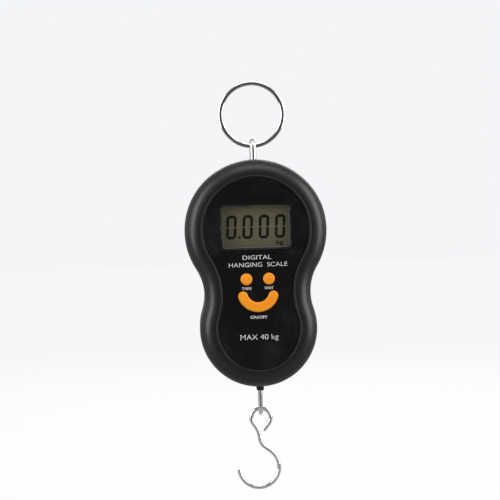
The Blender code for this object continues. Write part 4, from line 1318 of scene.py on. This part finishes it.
class SCALE_OT_batteries(bpy.types.Operator):
    """Models the two batteries and the springs that press on them"""

    bl_idname = "scale.batteries"
    bl_label = "Batteries"

    def execute(self, context):
        for name, button_up in (("battery_left", True), ("battery_right", False)):
            low, high = (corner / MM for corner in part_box(name))
            tall, radius = high.z - low.z, (high.x - low.x) / 2
            shoulder = tall - 0.9
            profile = [(0, 0), (radius - 1.4, 0), (radius - 1.2, 0.15), (radius - 0.5, 0.15), (radius - 0.15, 0.35)]
            profile += [(radius, 0.7), (radius, shoulder - 0.6), (radius - 0.15, shoulder - 0.2)]
            profile += [(radius - 0.6, shoulder), (2.2, shoulder - 0.1), (1.9, shoulder), (1.9, tall - 0.25)]
            profile += [(1.65, tall), (0, tall)]
            foot = low.z if button_up else high.z
            axis = ALONG_Z if button_up else (0, 0, -1)
            middle = ((low.x + high.x) / 2, (low.y + high.y) / 2, foot)
            cell = turn_profile(f"{name}_cell", profile, middle, 48, axis)
            sleeve = battery_sleeve(low.z, high.z, button_up)
            complete(cell, sleeve, "housing", [name])
        for name in ("contact_spring_left", "contact_spring_right"):
            low, high = (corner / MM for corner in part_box(name))
            wire_radius, turns, steps, foot_radius, taper = 0.25, 2.5, 90, 3.0, 0.8
            middle_x = math.copysign(BATTERY_X, low.x + high.x)
            middle_y = BAY_FLOOR_Y + 0.8 + GAP + 5.1
            path = []
            for i in range(steps + 1):
                share = i / steps
                angle, radius = math.tau * turns * share, foot_radius - taper * share
                rise = low.z + wire_radius + (high.z - low.z - 2 * wire_radius) * share
                path.append((middle_x + radius * math.cos(angle), middle_y + radius * math.sin(angle), rise))
            spring = bend_wire(f"{name}_coil", path, wire_radius, sides=3)
            complete(spring, material("spring"), "housing", [name], sharp=60, weigh=False)
        return {"FINISHED"}


INNER_FINISHES = {
    "grey": ("display_holder",),
    "rubber": ("zebra_strip",),
    "board": ("circuit_board",),
    "resin": ("controller_chip", "tare_switch", "unit_switch", "power_switch"),
    "white": ("tare_plunger", "unit_plunger", "power_plunger"),
    "aluminium": ("load_cell",),
    "steel": ("load_cell_screw", "board_screw"),
    "gauge": ("strain_gauge",),
    "contact": ("contact_bridge", "contact_positive", "contact_negative"),
    "red lead": ("gauge_wire_2", "gauge_wire_4", "battery_lead_positive"),
    "black lead": ("gauge_wire_1", "gauge_wire_3", "battery_lead_negative"),
}


class SCALE_OT_inner_finishes(bpy.types.Operator):
    """Gives the frame's own inner pieces their finishes"""

    bl_idname = "scale.inner_finishes"
    bl_label = "Inner Finishes"

    def execute(self, context):
        for name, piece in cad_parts.items():
            if piece.hide_render:
                continue
            found = [finish for finish, starts in INNER_FINISHES.items() if name.startswith(starts)]
            if not found:
                raise RuntimeError(f"no finish is given for {name}")
            for place in piece.material_slots:
                place.material = material(found[-1])
        return {"FINISHED"}


# ---------------------------------------------------------------- stage


def soft_lamp(name, place, width, height, power, target):
    """A rectangular soft lamp that faces target, both in metres."""
    deselect_everything()
    bpy.ops.object.light_add(type="AREA", location=place)
    lamp = bpy.context.object
    lamp.name = name
    lamp.data.shape = "RECTANGLE"
    lamp.data.size, lamp.data.size_y = width, height
    lamp.data.energy = power
    lamp.rotation_euler = (Vector(target) - Vector(place)).to_track_quat("-Z", "Y").to_euler()


def light_room():
    """Plain pale surroundings. In reflections they are dim straight in front of the face, as behind a camera."""
    world = bpy.context.scene.world or bpy.data.worlds.new("studio")
    bpy.context.scene.world = world
    world.use_nodes = True
    tree = world.node_tree
    apart = put(tree, "SeparateXYZ", Vector=put(tree, "TexCoord").outputs["Generated"])
    rise = spread(tree, apart.outputs[2], -0.25, 0.7, 0.6, 0.5)
    front = spread(tree, apart.outputs[1], -0.98, -0.66, 0.12, 1.0)
    seen = put(tree, "LightPath").outputs["Is Camera Ray"]
    strength = put(tree, "Mix", n0=seen, n2=times(tree, rise, front), n3=0.93)
    connect(tree, tree.nodes["Background"], Color=(0.97, 0.98, 1.0, 1), Strength=strength.outputs[0])


class SCALE_OT_stage(bpy.types.Operator):
    """Sets the floor, the soft lamps, the surroundings and the camera"""

    bl_idname = "scale.stage"
    bl_label = "Stage"

    def execute(self, context):
        stage = context.scene.scale_stage
        low, high = FRAME_BOX
        middle = (low + high) / 2
        floor_z = low.z - stage.floor_drop
        deselect_everything()
        bpy.ops.mesh.primitive_circle_add(vertices=96, radius=3.0, location=(0, 0, floor_z), fill_type="NGON")
        floor = named("studio_floor")
        edit_all()
        bpy.ops.mesh.inset(thickness=0.4, depth=0)
        leave_edit()
        bpy.ops.object.transform_apply(location=True, rotation=True, scale=True)
        made, tree, shader, vector = start_material("studio_floor", Roughness=0.85, Emission_Color=(1, 1, 1, 1))
        tone = cloud(tree, vector, 6.0, 3.0, 0.985, 1.0)
        connect(tree, shader, Base_Color=tinted(tree, opaque(stage.floor), tone))
        seen = put(tree, "LightPath").outputs["Is Camera Ray"]
        apart = put(tree, "SeparateXYZ", Vector=put(tree, "TexCoord").outputs["Object"])
        # in reflections the floor is dim in front of the face, like the surroundings
        reflected = spread(tree, apart.outputs[1], -0.42, -0.15, 0.04 * stage.floor_glow, 0.35 * stage.floor_glow)
        glow = put(tree, "Mix", n0=seen, n2=reflected, n3=stage.floor_glow).outputs[0]
        connect(tree, shader, Emission_Strength=glow)
        floor.data.materials.append(made)

        light_room()
        power = stage.lamp_power
        soft_lamp("lamp_left", (-0.62, -0.36, 0.04), 0.26, 0.85, power, middle)
        soft_lamp("lamp_right", (0.60, -0.26, -0.02), 0.34, 0.95, power * 1.15, middle)
        soft_lamp("lamp_top", (0.05, -0.40, 0.66), 0.7, 0.4, power * 0.5, middle)
        soft_lamp("lamp_back", (0.1, 0.75, 0.30), 0.8, 0.5, power, middle)

        deselect_everything()
        bpy.ops.object.camera_add()
        camera = bpy.context.object
        camera.name = "view_of_the_face"
        camera.data.lens = stage.lens
        camera.data.clip_start, camera.data.clip_end = 0.01, 50
        side, rise = stage.azimuth, stage.elevation
        back = Vector((math.sin(side) * math.cos(rise), -math.cos(side) * math.cos(rise), math.sin(rise)))
        aim = Vector(stage.aim)
        camera.location = aim + back * stage.distance
        camera.rotation_mode = "QUATERNION"
        look = (-back).to_track_quat("-Z", "Y")
        camera.rotation_quaternion = look @ Euler((0, 0, stage.roll)).to_quaternion()
        context.scene.camera = camera
        context.scene.view_settings.view_transform = "Standard"
        return {"FINISHED"}


# ---------------------------------------------------------------- panel and registration


class SCALE_PT_looks(bpy.types.Panel):
    """Lists the pieces and their settings"""

    bl_idname = "SCALE_PT_looks"
    bl_label = "Hanging Scale"
    bl_space_type = "VIEW_3D"
    bl_region_type = "UI"
    bl_category = "Hanging Scale"

    def draw(self, context):
        for name, kind in GROUP_CLASSES.items():
            box = self.layout.box()
            box.label(text=name.removeprefix("scale_").title())
            for key in kind.__annotations__:
                box.prop(getattr(context.scene, name), key)
        box = self.layout.box()
        box.label(text="Make")
        for step in STEPS:
            box.operator(step.bl_idname)


STEPS = (
    SCALE_OT_stage,
    SCALE_OT_front_shell,
    SCALE_OT_rear_shell,
    SCALE_OT_battery_door,
    SCALE_OT_face_panel,
    SCALE_OT_display,
    SCALE_OT_keys,
    SCALE_OT_split_ring,
    SCALE_OT_links,
    SCALE_OT_hook,
    SCALE_OT_case_screws,
    SCALE_OT_batteries,
    SCALE_OT_inner_finishes,
)
GROUP_CLASSES = {
    "scale_casing": ScaleCasing,
    "scale_face": ScaleFace,
    "scale_finish": ScaleFinish,
    "scale_stage": ScaleStage,
}


def register():
    for kind in (*GROUP_CLASSES.values(), *STEPS, SCALE_PT_looks):
        bpy.utils.register_class(kind)
    for name, kind in GROUP_CLASSES.items():
        setattr(bpy.types.Scene, name, bpy.props.PointerProperty(type=kind))


def unregister():
    for name in GROUP_CLASSES:
        delattr(bpy.types.Scene, name)
    for kind in reversed((*GROUP_CLASSES.values(), *STEPS, SCALE_PT_looks)):
        bpy.utils.unregister_class(kind)


def main():
    register()
    bpy.ops.scale.stage()
    bpy.ops.scale.front_shell()
    bpy.ops.scale.rear_shell()
    bpy.ops.scale.battery_door()
    bpy.ops.scale.face_panel()
    bpy.ops.scale.display()
    bpy.ops.scale.keys()
    bpy.ops.scale.split_ring()
    bpy.ops.scale.links()
    bpy.ops.scale.hook()
    bpy.ops.scale.case_screws()
    bpy.ops.scale.batteries()
    bpy.ops.scale.inner_finishes()


if __name__ == "__main__":
    main()
